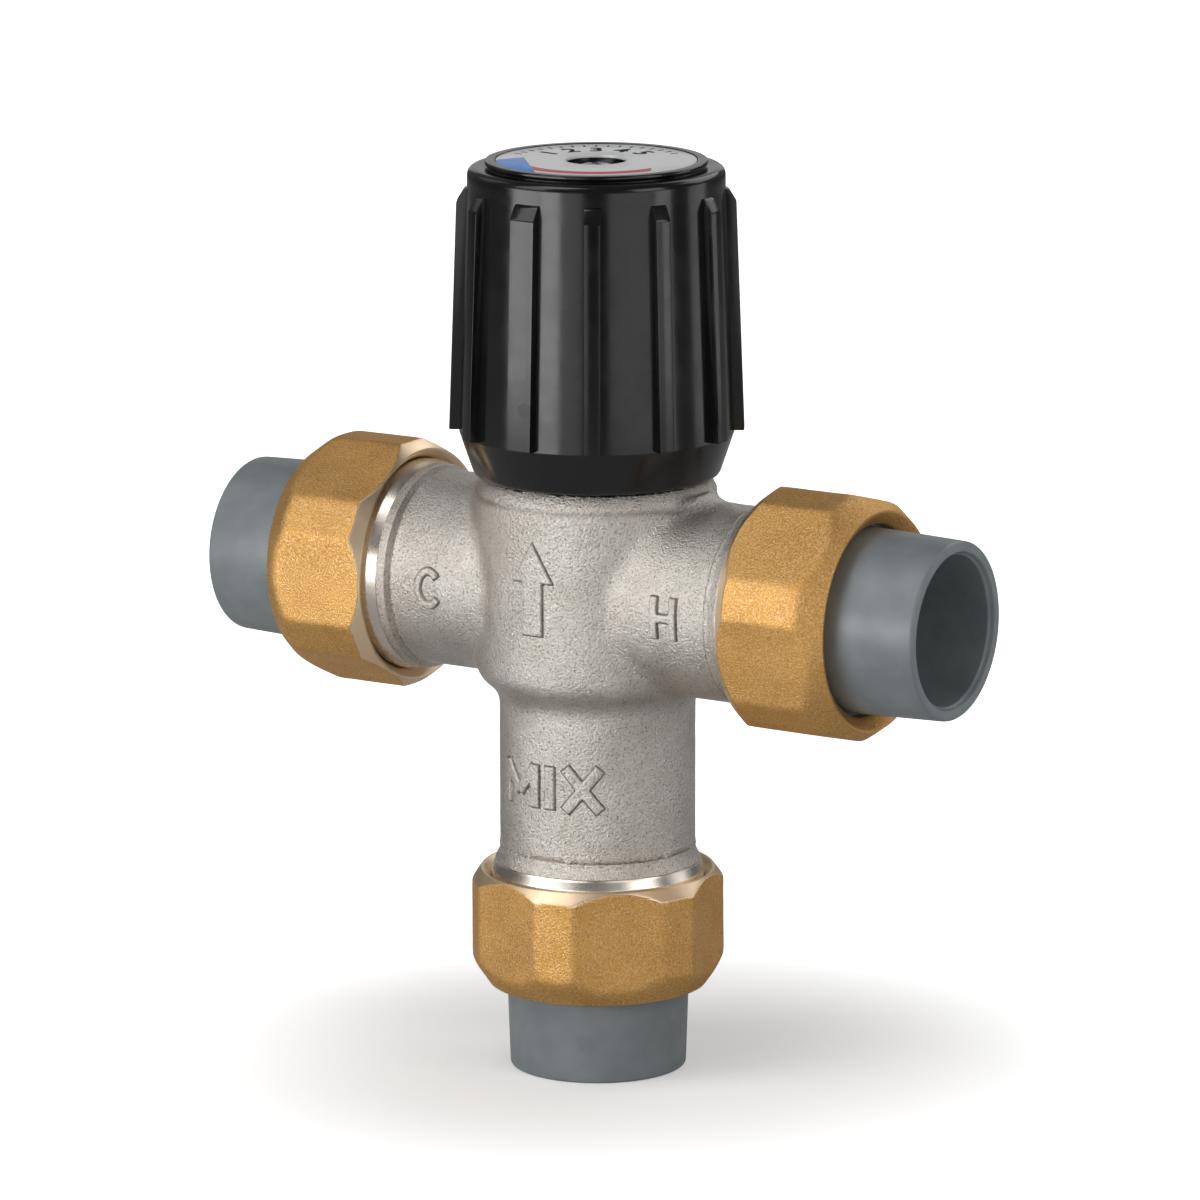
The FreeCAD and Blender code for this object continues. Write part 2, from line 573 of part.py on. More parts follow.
# ---------------------------------------------------------------------------
# Thermostat and shuttle
# ---------------------------------------------------------------------------
def thermostat_element():
    """Wax capsule: bulb in the mixed water, flange on the shuttle, nose round the pin."""
    flange_top = ELEMENT_FLANGE_LEVEL + ELEMENT_FLANGE_THICKNESS
    bore = PIN_RADIUS + RUNNING
    bore_floor = PIN_BOTTOM - ELEMENT_TRAVEL - LOOSE
    edge = 2 * KNOB_EDGE
    return turned([
        (0, ELEMENT_BOTTOM), (ELEMENT_RADIUS - edge, ELEMENT_BOTTOM),
        (ELEMENT_RADIUS, ELEMENT_BOTTOM + edge), (ELEMENT_RADIUS, ELEMENT_FLANGE_LEVEL),
        (ELEMENT_FLANGE, ELEMENT_FLANGE_LEVEL), (ELEMENT_FLANGE, flange_top),
        (ELEMENT_NOSE, flange_top), (ELEMENT_NOSE, ELEMENT_NOSE_TOP), (bore, ELEMENT_NOSE_TOP),
        (bore, bore_floor), (0, bore_floor)])


def element_pin():
    """Piston of the thermostat, held in the cup."""
    return rod(PIN_RADIUS, PIN_BOTTOM, cup_pocket_top())


def shuttle():
    """Open spool: a thin sleeve carried on spokes by the ring that holds the element."""
    outer = WEB_BORE - RUNNING
    inner = outer - SHUTTLE_WALL
    hub_top = ELEMENT_FLANGE_LEVEL + ELEMENT_FLANGE_THICKNESS
    sleeve = tube(outer, inner, -SHUTTLE_HALF, SHUTTLE_HALF)
    hub = turned([
        (ELEMENT_RADIUS + LOOSE, SHUTTLE_HUB_BOTTOM), (SHUTTLE_HUB, SHUTTLE_HUB_BOTTOM),
        (SHUTTLE_HUB, hub_top), (ELEMENT_FLANGE + RUNNING, hub_top),
        (ELEMENT_FLANGE + RUNNING, ELEMENT_FLANGE_LEVEL),
        (ELEMENT_RADIUS + LOOSE, ELEMENT_FLANGE_LEVEL)])
    spokes = []
    bite = SHUTTLE_WALL / 2
    length = inner - SHUTTLE_HUB + 2 * bite
    for step in range(SHUTTLE_SPOKES):
        corner = Vector(SHUTTLE_HUB - bite, -SPOKE_WIDTH / 2, PORT_AXIS + SHUTTLE_HUB_BOTTOM)
        spoke = Part.makeBox(length, SPOKE_WIDTH, hub_top - SHUTTLE_HUB_BOTTOM, corner)
        spoke.rotate(Vector(0, 0, 0), Vector(0, 0, 1), 360 / SHUTTLE_SPOKES * (step + 0.5))
        spokes.append(spoke)
    return sleeve.fuse([hub] + spokes).removeSplitter()


def shuttle_o_ring():
    """Seal in the web between the hot and the cold gallery."""
    return ring(WEB_BORE + SEAL_SECTION / 2 + RUNNING / 4, SEAL_SECTION, 0)


def return_spring():
    """Spring that lifts the shuttle as the element cools."""
    low = REST_LEVEL + REST_THICKNESS
    return spring(RETURN_RADIUS, RETURN_WIRE, RETURN_TURNS, low, SHUTTLE_HUB_BOTTOM)


def spring_rest():
    """Spoked ring on the ledge in the outlet, under the return spring."""
    outer = SEAT_BORE - RUNNING
    inner = OUTLET_BORE - SHUTTLE_WALL
    top = REST_LEVEL + REST_THICKNESS
    rim = tube(outer, inner, REST_LEVEL, top)
    seat = tube(RETURN_RADIUS + RETURN_WIRE / 2, RETURN_RADIUS - RETURN_WIRE, REST_LEVEL, top)
    spokes = []
    for step in range(REST_SPOKES):
        corner = Vector(RETURN_RADIUS, -SPOKE_WIDTH / 2, PORT_AXIS + REST_LEVEL)
        spoke = Part.makeBox(inner - RETURN_RADIUS + SHUTTLE_WALL / 2, SPOKE_WIDTH,
                             REST_THICKNESS, corner)
        spoke.rotate(Vector(0, 0, 0), Vector(0, 0, 1), 360 / REST_SPOKES * step)
        spokes.append(spoke)
    return rim.fuse([seat] + spokes).removeSplitter()


# ---------------------------------------------------------------------------
# Knob
# ---------------------------------------------------------------------------
def knob_radius(height):
    """Radius of the knob's tapered side between the ribs."""
    part = (height - KNOB_SKIRT_TOP) / (KNOB_SHOULDER - KNOB_SKIRT_TOP)
    return KNOB_BELT_RADIUS + part * (KNOB_SHOULDER_RADIUS - KNOB_BELT_RADIUS)


def knob_shell():
    """Moulded cap without its ribs, turned from its outline."""
    rim_low = KNOB_TOP - KNOB_RIM_HEIGHT
    side_top = KNOB_SHOULDER - KNOB_SHOULDER_ROUND
    neck_low = KNOB_SHOULDER + KNOB_EDGE
    ceiling = KNOB_TOP - LABEL_RECESS - KNOB_TOP_WALL

    def point(radius, height):
        return Vector(radius, 0, PORT_AXIS + height)

    bend = KNOB_SHOULDER_ROUND * (1 - math.sqrt(0.5))
    shoulder_in = KNOB_SHOULDER_RADIUS - KNOB_SHOULDER_ROUND
    side_end = point(knob_radius(side_top), side_top)
    shoulder_end = point(shoulder_in, KNOB_SHOULDER)
    crown = point(knob_radius(side_top) - bend, KNOB_SHOULDER - bend)
    before = [
        (KNOB_MOUTH, KNOB_BOTTOM), (KNOB_SKIRT_RADIUS - KNOB_EDGE, KNOB_BOTTOM),
        (KNOB_SKIRT_RADIUS, KNOB_BOTTOM + KNOB_EDGE), (KNOB_BELT_RADIUS, KNOB_SKIRT_TOP)]
    after = [
        (KNOB_NECK_RADIUS, neck_low), (KNOB_NECK_RADIUS, rim_low - KNOB_EDGE),
        (KNOB_RIM_RADIUS, rim_low), (KNOB_RIM_RADIUS, KNOB_TOP - KNOB_EDGE / 2),
        (KNOB_RIM_RADIUS - KNOB_EDGE / 2, KNOB_TOP), (LABEL_RADIUS, KNOB_TOP),
        (LABEL_RADIUS, KNOB_TOP - LABEL_RECESS), (0, KNOB_TOP - LABEL_RECESS), (0, ceiling),
        (KNOB_RIM_RADIUS - KNOB_WALL, ceiling),
        (knob_radius(side_top) - KNOB_WALL, side_top - KNOB_WALL),
        (KNOB_BELT_RADIUS - KNOB_WALL, KNOB_SKIRT_TOP), (KNOB_MOUTH, KNOB_BOTTOM)]
    first = Part.makePolygon([point(*corner) for corner in before] + [side_end])
    second = Part.makePolygon([shoulder_end] + [point(*corner) for corner in after])
    edges = first.Edges + [Part.Arc(side_end, crown, shoulder_end).toShape()] + second.Edges
    return Part.Face(Part.Wire(edges)).revolve(Vector(0, 0, 0), Vector(0, 0, 1), 360)


def rib(width, azimuth):
    """One grip rib: follows the taper, flat at its foot, rounded over at the shoulder."""
    root = KNOB_WALL / 2
    foot = KNOB_SKIRT_TOP + LIP_GROOVE
    cap_top = KNOB_SHOULDER - LOOSE
    cap_radius = KNOB_SHOULDER_RADIUS

    def point(radius, height):
        return Vector(radius, -width / 2, PORT_AXIS + height)

    outer_top = point(knob_radius(RIB_TOP) + RIB_HEIGHT, RIB_TOP)
    cap = point(cap_radius, cap_top)
    bulge = point(outer_top.x * 0.35 + cap_radius * 0.65 + KNOB_EDGE / 2,
                  RIB_TOP * 0.35 + cap_top * 0.65)
    foot_out = point(knob_radius(foot) + RIB_HEIGHT, foot)
    foot_in = point(knob_radius(foot) - root, foot)
    top_in = point(cap_radius - root, cap_top)
    outline = Part.Wire([
        Part.makeLine(foot_in, foot_out), Part.makeLine(foot_out, outer_top),
        Part.Arc(outer_top, bulge, cap).toShape(), Part.makeLine(cap, top_in),
        Part.makeLine(top_in, foot_in)])
    bar = Part.Face(outline).extrude(Vector(0, width, 0))
    long_edges = [edge for edge in bar.Edges if is_rib_edge(edge, outer_top.x)]
    bar = bar.makeFillet(RIB_EDGE, long_edges)
    bar.rotate(Vector(0, 0, 0), Vector(0, 0, 1), azimuth)
    return bar


def is_rib_edge(edge, top_radius):
    """True for the long outer edges of a rib and the edges of its cap."""
    box = edge.BoundBox
    return box.YLength < 0.01 and box.ZLength > RIB_EDGE * 3 and box.XMax > top_radius - 0.01


def knob():
    """Cap with ribs, drive socket and screw well."""
    ceiling = KNOB_TOP - LABEL_RECESS - KNOB_TOP_WALL
    socket_low = SPINDLE_FLAT_LEVEL + LOOSE
    ribs = [rib(INDEX_RIB_WIDTH, INDEX_AZIMUTH)]
    for step in range(1, RIB_COUNT):
        ribs.append(rib(RIB_WIDTH, INDEX_AZIMUTH + 360 / RIB_COUNT * step))
    post = rod(KNOB_SOCKET_RADIUS, socket_low, ceiling)
    solid = knob_shell().fuse(ribs + [post])
    socket = drive_section(SPINDLE_RADIUS + RUNNING, SPINDLE_FLAT + RUNNING, socket_low,
                           SPINDLE_TOP + FACE_GAP)
    screw_hole = rod(SCREW_SHANK + LOOSE, SPINDLE_TOP, SCREW_WELL_FLOOR)
    well = rod(SCREW_WELL, SCREW_WELL_FLOOR, KNOB_TOP)
    return solid.cut([socket, screw_hole, well]).removeSplitter()


def knob_label():
    """Thin disc glued into the knob's recess."""
    floor = KNOB_TOP - LABEL_RECESS
    return tube(LABEL_RADIUS - FACE_GAP, LABEL_HOLE, floor, floor + LABEL_THICKNESS)


def knob_screw():
    """Pan-head screw with a cross recess, through the knob into the spindle."""
    head_top = SCREW_WELL_FLOOR + SCREW_HEAD_HEIGHT
    round_over = 2 * KNOB_EDGE
    screw = turned([
        (0, SCREW_WELL_FLOOR - SCREW_LENGTH), (SCREW_SHANK, SCREW_WELL_FLOOR - SCREW_LENGTH),
        (SCREW_SHANK, SCREW_WELL_FLOOR), (SCREW_HEAD, SCREW_WELL_FLOOR),
        (SCREW_HEAD, head_top - round_over), (SCREW_HEAD - round_over, head_top), (0, head_top)])
    slot_length = 2 * SCREW_SHANK
    low = PORT_AXIS + head_top - round_over
    across = Part.makeBox(slot_length, SCREW_SLOT, SCREW_HEAD_HEIGHT,
                          Vector(-slot_length / 2, -SCREW_SLOT / 2, low))
    along = Part.makeBox(SCREW_SLOT, slot_length, SCREW_HEAD_HEIGHT,
                         Vector(-SCREW_SLOT / 2, -slot_length / 2, low))
    return screw.cut([across, along])


def main():
    """Build every sub-part and write it to its own file."""
    os.makedirs(OUT, exist_ok=True)
    for port, turn in (("cold", COLD_NUT_TURN), ("hot", HOT_NUT_TURN), ("mix", MIX_NUT_TURN)):
        save(port + "_union_nut", to_port(union_nut(turn), port))
        save(port + "_gasket", to_port(gasket(), port))
        save(port + "_tailpiece", to_port(tailpiece(), port))
    for build in (valve_body, bonnet, bonnet_o_ring, spindle, spindle_o_ring, spindle_washer,
                  spindle_clip, plunger, cup_ring, spring_cup, overload_spring,
                  thermostat_element, element_pin, shuttle, shuttle_o_ring, return_spring,
                  spring_rest, knob, knob_label, knob_screw):
        save(build.__name__, build())


main()
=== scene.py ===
"""Looks of the three-way mixing valve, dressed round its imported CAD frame.

Each sub-assembly is a class that builds its meshes and dresses them.  Lengths are in metres;
MM turns a size in millimetres into metres.  Places come from the frame's own boxes.
"""
from __future__ import annotations

import json
import logging
import math
from collections.abc import Iterator
from contextlib import contextmanager
from dataclasses import dataclass
from enum import Enum
from functools import cache

import bmesh
import bpy
from bpy.types import Material, Mesh, Node, NodeSocket, NodeTree, Object
from mathutils import Matrix, Vector, noise

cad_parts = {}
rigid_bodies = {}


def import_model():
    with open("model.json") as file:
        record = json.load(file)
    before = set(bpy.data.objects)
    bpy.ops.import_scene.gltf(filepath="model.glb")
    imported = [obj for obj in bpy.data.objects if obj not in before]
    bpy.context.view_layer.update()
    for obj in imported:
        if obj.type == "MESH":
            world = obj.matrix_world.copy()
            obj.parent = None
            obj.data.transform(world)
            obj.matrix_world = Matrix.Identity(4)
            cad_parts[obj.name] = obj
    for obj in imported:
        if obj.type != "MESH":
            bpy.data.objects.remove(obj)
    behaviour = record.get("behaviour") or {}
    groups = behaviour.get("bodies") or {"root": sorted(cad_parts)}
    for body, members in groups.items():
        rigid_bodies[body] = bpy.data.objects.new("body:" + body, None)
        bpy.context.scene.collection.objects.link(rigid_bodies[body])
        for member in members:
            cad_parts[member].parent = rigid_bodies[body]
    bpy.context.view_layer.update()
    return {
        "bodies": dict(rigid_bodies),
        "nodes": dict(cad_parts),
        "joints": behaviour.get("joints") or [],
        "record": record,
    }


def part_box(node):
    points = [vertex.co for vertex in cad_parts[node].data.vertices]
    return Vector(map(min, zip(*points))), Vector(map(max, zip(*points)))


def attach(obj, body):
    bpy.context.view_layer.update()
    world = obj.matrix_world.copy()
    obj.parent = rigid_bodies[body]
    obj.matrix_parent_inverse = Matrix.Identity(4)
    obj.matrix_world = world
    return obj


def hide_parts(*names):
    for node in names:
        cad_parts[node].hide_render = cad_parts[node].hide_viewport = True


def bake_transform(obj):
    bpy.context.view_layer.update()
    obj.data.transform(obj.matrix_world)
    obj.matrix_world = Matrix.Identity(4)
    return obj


LOG = logging.getLogger("mixing_valve")
MM = 0.001

Profile = list[tuple[float, float, float]]
Outline = list[tuple[float, float]]
Colour = tuple[float, float, float]
Strokes = list[tuple[float, float, float, float]]


# --- Mesh helpers ---
def link_mesh(name: str, mesh: Mesh) -> Object:
    """Wrap a mesh in an object and put it in the scene.

    Args:
        name: Name of the piece.
        mesh: Finished mesh data.

    Returns:
        The new object, at the origin.
    """
    piece = bpy.data.objects.new(name, mesh)
    bpy.context.scene.collection.objects.link(piece)
    return piece


@contextmanager
def editing(mesh: Mesh) -> Iterator[bmesh.types.BMesh]:
    """Open a mesh for editing, and write it back afterwards.

    Args:
        mesh: Mesh to change in place.

    Yields:
        Its editable form.
    """
    work = bmesh.new()
    work.from_mesh(mesh)
    yield work
    work.to_mesh(mesh)
    work.free()


def mesh_from(name: str, points: list[Vector], faces: list[tuple[int, ...]]) -> Mesh:
    """Make a mesh from points and faces, with its normals pointing out.

    Args:
        name: Name of the mesh.
        points: Vertex places.
        faces: Vertex numbers of each face.

    Returns:
        The mesh.
    """
    mesh = bpy.data.meshes.new(name)
    mesh.from_pydata([tuple(point) for point in points], [], faces)
    with editing(mesh) as work:
        bmesh.ops.recalc_face_normals(work, faces=work.faces)
    return mesh


def smooth_by_angle(mesh: Mesh, degrees: float) -> None:
    """Shade a mesh smooth, with sharp edges where faces meet at more than an angle.

    Args:
        mesh: Mesh to shade.
        degrees: Angle between face normals from which an edge is sharp.
    """
    limit = math.radians(degrees)
    with editing(mesh) as work:
        for edge in work.edges:
            edge.smooth = not edge.is_manifold or edge.calc_face_angle(0.0) < limit
        for face in work.faces:
            face.smooth = True


def rounded(corners: Profile, steps: int = 4) -> Outline:
    """Round the corners of a closed outline.

    Args:
        corners: (radius, height, round) of each corner, in order.
        steps: Points on each rounded corner.

    Returns:
        (radius, height) points of the outline.
    """
    outline: Outline = []
    count = len(corners)
    for index, (radius, height, bend) in enumerate(corners):
        here = Vector((radius, height))
        before = Vector(corners[index - 1][:2]) - here
        after = Vector(corners[(index + 1) % count][:2]) - here
        if bend <= 0.0:
            outline.append((radius, height))
            continue
        reach = min(bend, before.length * 0.49, after.length * 0.49)
        start = here + before.normalized() * reach
        end = here + after.normalized() * reach
        for step in range(steps + 1):
            share = step / steps
            point = start.lerp(here, share).lerp(here.lerp(end, share), share)
            outline.append((point.x, point.y))
    return outline


def turned(name: str, outline: Outline, segments: int) -> Mesh:
    """Closed solid of revolution about +Z.

    Args:
        name: Name of the mesh.
        outline: Closed outline as (radius, height), all radii above zero.
        segments: Number of steps round the axis.

    Returns:
        The mesh.
    """
    points = []
    for step in range(segments):
        angle = 2 * math.pi * step / segments
        points += [Vector((r * math.cos(angle), r * math.sin(angle), h)) for r, h in outline]
    return mesh_from(name, points, quads(segments, len(outline)))


def quads(columns: int, rows: int) -> list[tuple[int, ...]]:
    """Faces of a grid of points that closes on itself both ways.

    Args:
        columns: Number of columns.
        rows: Points in each column.

    Returns:
        Vertex numbers of each face.
    """
    faces = []
    for column in range(columns):
        here, there = column * rows, (column + 1) % columns * rows
        for row in range(rows):
            above = (row + 1) % rows
            faces.append((here + row, there + row, there + above, here + above))
    return faces


def prism(outline: Outline, levels: tuple[float, float]) -> tuple[list[Vector],
                                                                 list[tuple[int, ...]]]:
    """Points and faces of an upright prism.

    Args:
        outline: Its outline in the XY plane.
        levels: Heights of its two ends.

    Returns:
        The points, and the vertex numbers of each face.
    """
    count = len(outline)
    points = [Vector((x, y, z)) for z in levels for x, y in outline]
    faces: list[tuple[int, ...]] = [tuple(range(count)), tuple(range(count, 2 * count))]
    faces += [(i, (i + 1) % count, (i + 1) % count + count, i + count) for i in range(count)]
    return points, faces


def joined(name: str, meshes: list[Mesh]) -> Mesh:
    """Put several closed shells into one mesh.

    Args:
        name: Name of the new mesh.
        meshes: Shells, which are removed afterwards.

    Returns:
        The mesh that holds them all.
    """
    work = bmesh.new()
    for mesh in meshes:
        work.from_mesh(mesh)
    whole = bpy.data.meshes.new(name)
    work.to_mesh(whole)
    work.free()
    for mesh in meshes:
        bpy.data.meshes.remove(mesh)
    return whole


def baked(piece: Object) -> Object:
    """Turn a piece's modifiers into plain mesh.

    Args:
        piece: Object with live modifiers.

    Returns:
        The same object, with a plain mesh and no modifiers.
    """
    graph = bpy.context.evaluated_depsgraph_get()
    result = bpy.data.meshes.new_from_object(piece.evaluated_get(graph))
    piece.modifiers.clear()
    piece.data = result
    return piece


def add_voxels(piece: Object, size: float) -> None:
    """Add a voxel remesh of one cell size, in metres."""
    even = piece.modifiers.new("even", "REMESH")
    even.mode = "VOXEL"
    even.voxel_size = size


def add_relax(piece: Object, factor: float, steps: int, group: str = "") -> None:
    """Add a smoothing of some steps, in one vertex group only if it is named."""
    relax = piece.modifiers.new("relax", "SMOOTH")
    relax.factor = factor
    relax.iterations = steps
    relax.vertex_group = group


def add_values(mesh: Mesh, name: str, values: list[float]) -> None:
    """Give each point of a mesh a value under a name that materials read."""
    mesh.attributes.new(name, "FLOAT", "POINT").data.foreach_set("value", values)


# --- Node helpers ---
class Sketch:
    """Short way to write a node tree."""

    def __init__(self, tree: NodeTree) -> None:
        """Start on an empty tree."""
        self.tree = tree
        self.tree.nodes.clear()

    def add(self, kind: str, **settings: object) -> Node:
        """Add a node and set its properties.

        Args:
            kind: Node type, such as ShaderNodeMath.
            settings: Properties of the node.

        Returns:
            The node.
        """
        node = self.tree.nodes.new(kind)
        for name, value in settings.items():
            setattr(node, name, value)
        return node

    def feed(self, node: Node, **inputs: object) -> Node:
        """Set or link a node's inputs by name, with spaces written as underscores.

        Args:
            node: The node to feed.
            inputs: A socket to link, or a value to set.

        Returns:
            The same node.
        """
        for name, value in inputs.items():
            self.put(node.inputs[name.replace("_", " ")], value)
        return node

    def put(self, socket: NodeSocket, value: object) -> None:
        """Link a socket, or set its value."""
        if isinstance(value, NodeSocket):
            self.tree.links.new(value, socket)
            return
        if isinstance(value, tuple) and len(value) == 3 and socket.type == "RGBA":
            value = (*value, 1.0)
        socket.default_value = value

    def math(self, operation: str, *values: object, clamp: bool = False) -> NodeSocket:
        """Math node on up to three sockets or numbers."""
        return self.wire(self.add("ShaderNodeMath", operation=operation, use_clamp=clamp), *values)

    def times(self, *values: object) -> NodeSocket:
        """Product of two sockets or numbers."""
        return self.math("MULTIPLY", *values)

    def plus(self, *values: object) -> NodeSocket:
        """Sum of two sockets or numbers."""
        return self.math("ADD", *values)

    def less(self, *values: object) -> NodeSocket:
        """First of two sockets or numbers, less the second."""
        return self.math("SUBTRACT", *values)

    def wire(self, node: Node, *values: object) -> NodeSocket:
        """Link or set a node's first inputs in order, and give its first output."""
        for socket, value in zip(node.inputs, values):
            self.put(socket, value)
        return node.outputs[0]

    def ramp(self, value: object, low: float, high: float, to_low: float = 0.0,
             to_high: float = 1.0) -> NodeSocket:
        """Smooth step of a value from one range to another."""
        node = self.add("ShaderNodeMapRange", interpolation_type="SMOOTHSTEP")
        self.feed(node, Value=value, From_Min=low, From_Max=high, To_Min=to_low, To_Max=to_high)
        return node.outputs["Result"]

    def mix(self, share: object, first: object, second: object) -> NodeSocket:
        """Blend two colours."""
        node = self.add("ShaderNodeMix", data_type="RGBA")
        self.put(node.inputs[0], share)
        self.put(node.inputs[6], first)
        self.put(node.inputs[7], second)
        return node.outputs[2]

    def noise(self, vector: object, scale: object, detail: float = 2.0,
              roughness: float = 0.5) -> NodeSocket:
        """Fractal noise about one half."""
        node = self.add("ShaderNodeTexNoise")
        self.feed(node, Vector=vector, Scale=scale, Detail=detail, Roughness=roughness)
        return node.outputs["Fac"]

    def in_millimetres(self) -> NodeSocket:
        """Object coordinates in millimetres."""
        place = self.add("ShaderNodeTexCoord")
        grow = self.add("ShaderNodeVectorMath", operation="SCALE")
        self.feed(grow, Scale=1 / MM)
        return self.wire(grow, place.outputs["Object"])

    def split(self, vector: object) -> tuple[NodeSocket, ...]:
        """The three parts of a vector."""
        parts = self.add("ShaderNodeSeparateXYZ")
        self.wire(parts, vector)
        return tuple(parts.outputs)

    def bump(self, height: object, distance: float) -> NodeSocket:
        """Normal from a height, whose unit is the given distance in metres."""
        node = self.add("ShaderNodeBump")
        self.feed(node, Height=height, Distance=distance, Strength=1.0)
        return node.outputs["Normal"]

    def attribute(self, name: str) -> NodeSocket:
        """A value that the mesh holds for each point."""
        return self.add("ShaderNodeAttribute", attribute_name=name).outputs["Fac"]


def new_group(name: str, inputs: dict[str, tuple[str, object]],
              outputs: dict[str, str]) -> tuple[Sketch, Node, Node]:
    """Start a shader node group.

    Args:
        name: Name of the group.
        inputs: Socket kind and default value of each input.
        outputs: Socket kind of each output.

    Returns:
        The sketch of its tree, its input node and its output node.
    """
    tree = bpy.data.node_groups.new(name, "ShaderNodeTree")
    for label, (kind, value) in inputs.items():
        socket = tree.interface.new_socket(label, in_out="INPUT", socket_type=kind)
        if value is not None:
            socket.default_value = value
    for label, kind in outputs.items():
        tree.interface.new_socket(label, in_out="OUTPUT", socket_type=kind)
    sketch = Sketch(tree)
    return sketch, sketch.add("NodeGroupInput"), sketch.add("NodeGroupOutput")


@cache
def cast_grain_group() -> NodeTree:
    """Sand-cast skin: fine grain, pits and slow waves, in millimetre coordinates.

    Returns:
        A group that gives a height, masks of speckles and pits, and a slow tone.
    """
    sketch, start, end = new_group(
        "cast_grain",
        {"Vector": ("NodeSocketVector", None), "Grain": ("NodeSocketFloat", 3.2),
         "Pits": ("NodeSocketFloat", 0.5)},
        dict.fromkeys(("Height", "Speckle", "Pit", "Tone"), "NodeSocketFloat"))
    vector = start.outputs["Vector"]
    fine = sketch.noise(vector, start.outputs["Grain"], 3.0, 0.62)
    cells = sketch.add("ShaderNodeTexVoronoi")
    sketch.feed(cells, Vector=vector, Randomness=1.0,
                Scale=sketch.times(start.outputs["Grain"], 0.62))
    dents = sketch.times(cells.outputs["Distance"], start.outputs["Pits"])
    slow = sketch.times(sketch.noise(vector, 0.45, 2.0), 0.4)
    sketch.feed(end, Height=sketch.plus(sketch.plus(fine, dents), slow),
                Speckle=sketch.ramp(fine, 0.51, 0.66), Pit=sketch.ramp(fine, 0.47, 0.32),
                Tone=sketch.noise(vector, 0.12, 3.0, 0.55))
    return sketch.tree


@cache
def lathe_lines_group() -> NodeTree:
    """Fine turning marks along an axis, given the distance along it in millimetres.

    Returns:
        A group that gives a height.
    """
    sketch, start, end = new_group(
        "lathe_lines",
        {"Along": ("NodeSocketFloat", 0.0), "Pitch": ("NodeSocketFloat", 0.22)},
        {"Height": "NodeSocketFloat"})
    turns = sketch.math("DIVIDE", start.outputs["Along"], start.outputs["Pitch"])
    wobble = sketch.add("ShaderNodeTexNoise", noise_dimensions="1D")
    sketch.feed(wobble, W=turns, Scale=1.7, Detail=2.0)
    wave = sketch.math("SINE", sketch.times(turns, 2 * math.pi))
    sketch.feed(end, Height=sketch.plus(sketch.times(wave, 0.35), wobble.outputs["Fac"]))
    return sketch.tree


@cache
def handling_group() -> NodeTree:
    """Light handling marks: soft smears and a few hairline scratches.

    Returns:
        A group that gives a smear mask and a scratch mask.
    """
    sketch, start, end = new_group(
        "handling", {"Vector": ("NodeSocketVector", None)},
        dict.fromkeys(("Smear", "Scratch"), "NodeSocketFloat"))
    vector = start.outputs["Vector"]
    stretch = sketch.add("ShaderNodeMapping")
    sketch.feed(stretch, Vector=vector, Rotation=(0.5, 0.3, 0.9), Scale=(0.12, 4.0, 0.12))
    hair = sketch.noise(stretch.outputs[0], 1.0, 1.0)
    sketch.feed(end, Smear=sketch.ramp(sketch.noise(vector, 0.22, 4.0, 0.6), 0.38, 0.68),
                Scratch=sketch.ramp(hair, 0.735, 0.765))
    return sketch.tree


# --- Finishes ---
@dataclass(frozen=True)
class Finish:
    """A surface finish; its build method gives a material."""

    name: str

    def build(self) -> Material:
        """Make the material once, and give it again afterwards.

        Returns:
            The material.
        """
        if self.name in bpy.data.materials:
            return bpy.data.materials[self.name]
        material = bpy.data.materials.new(self.name)
        material.use_nodes = True
        sketch = Sketch(material.node_tree)
        shader = sketch.add("ShaderNodeBsdfPrincipled")
        target = sketch.add("ShaderNodeOutputMaterial")
        sketch.feed(target, Surface=shader.outputs[0])
        self.paint(sketch, shader)
        return material

    def paint(self, sketch: Sketch, shader: Node) -> None:
        """Fill in the material's nodes."""
        raise NotImplementedError

    @staticmethod
    def effect(sketch: Sketch, tree: NodeTree, **inputs: object) -> bpy.types.NodeOutputs:
        """Place a shared effect group with this finish's own values."""
        node = sketch.add("ShaderNodeGroup", node_tree=tree)
        return sketch.feed(node, **inputs).outputs


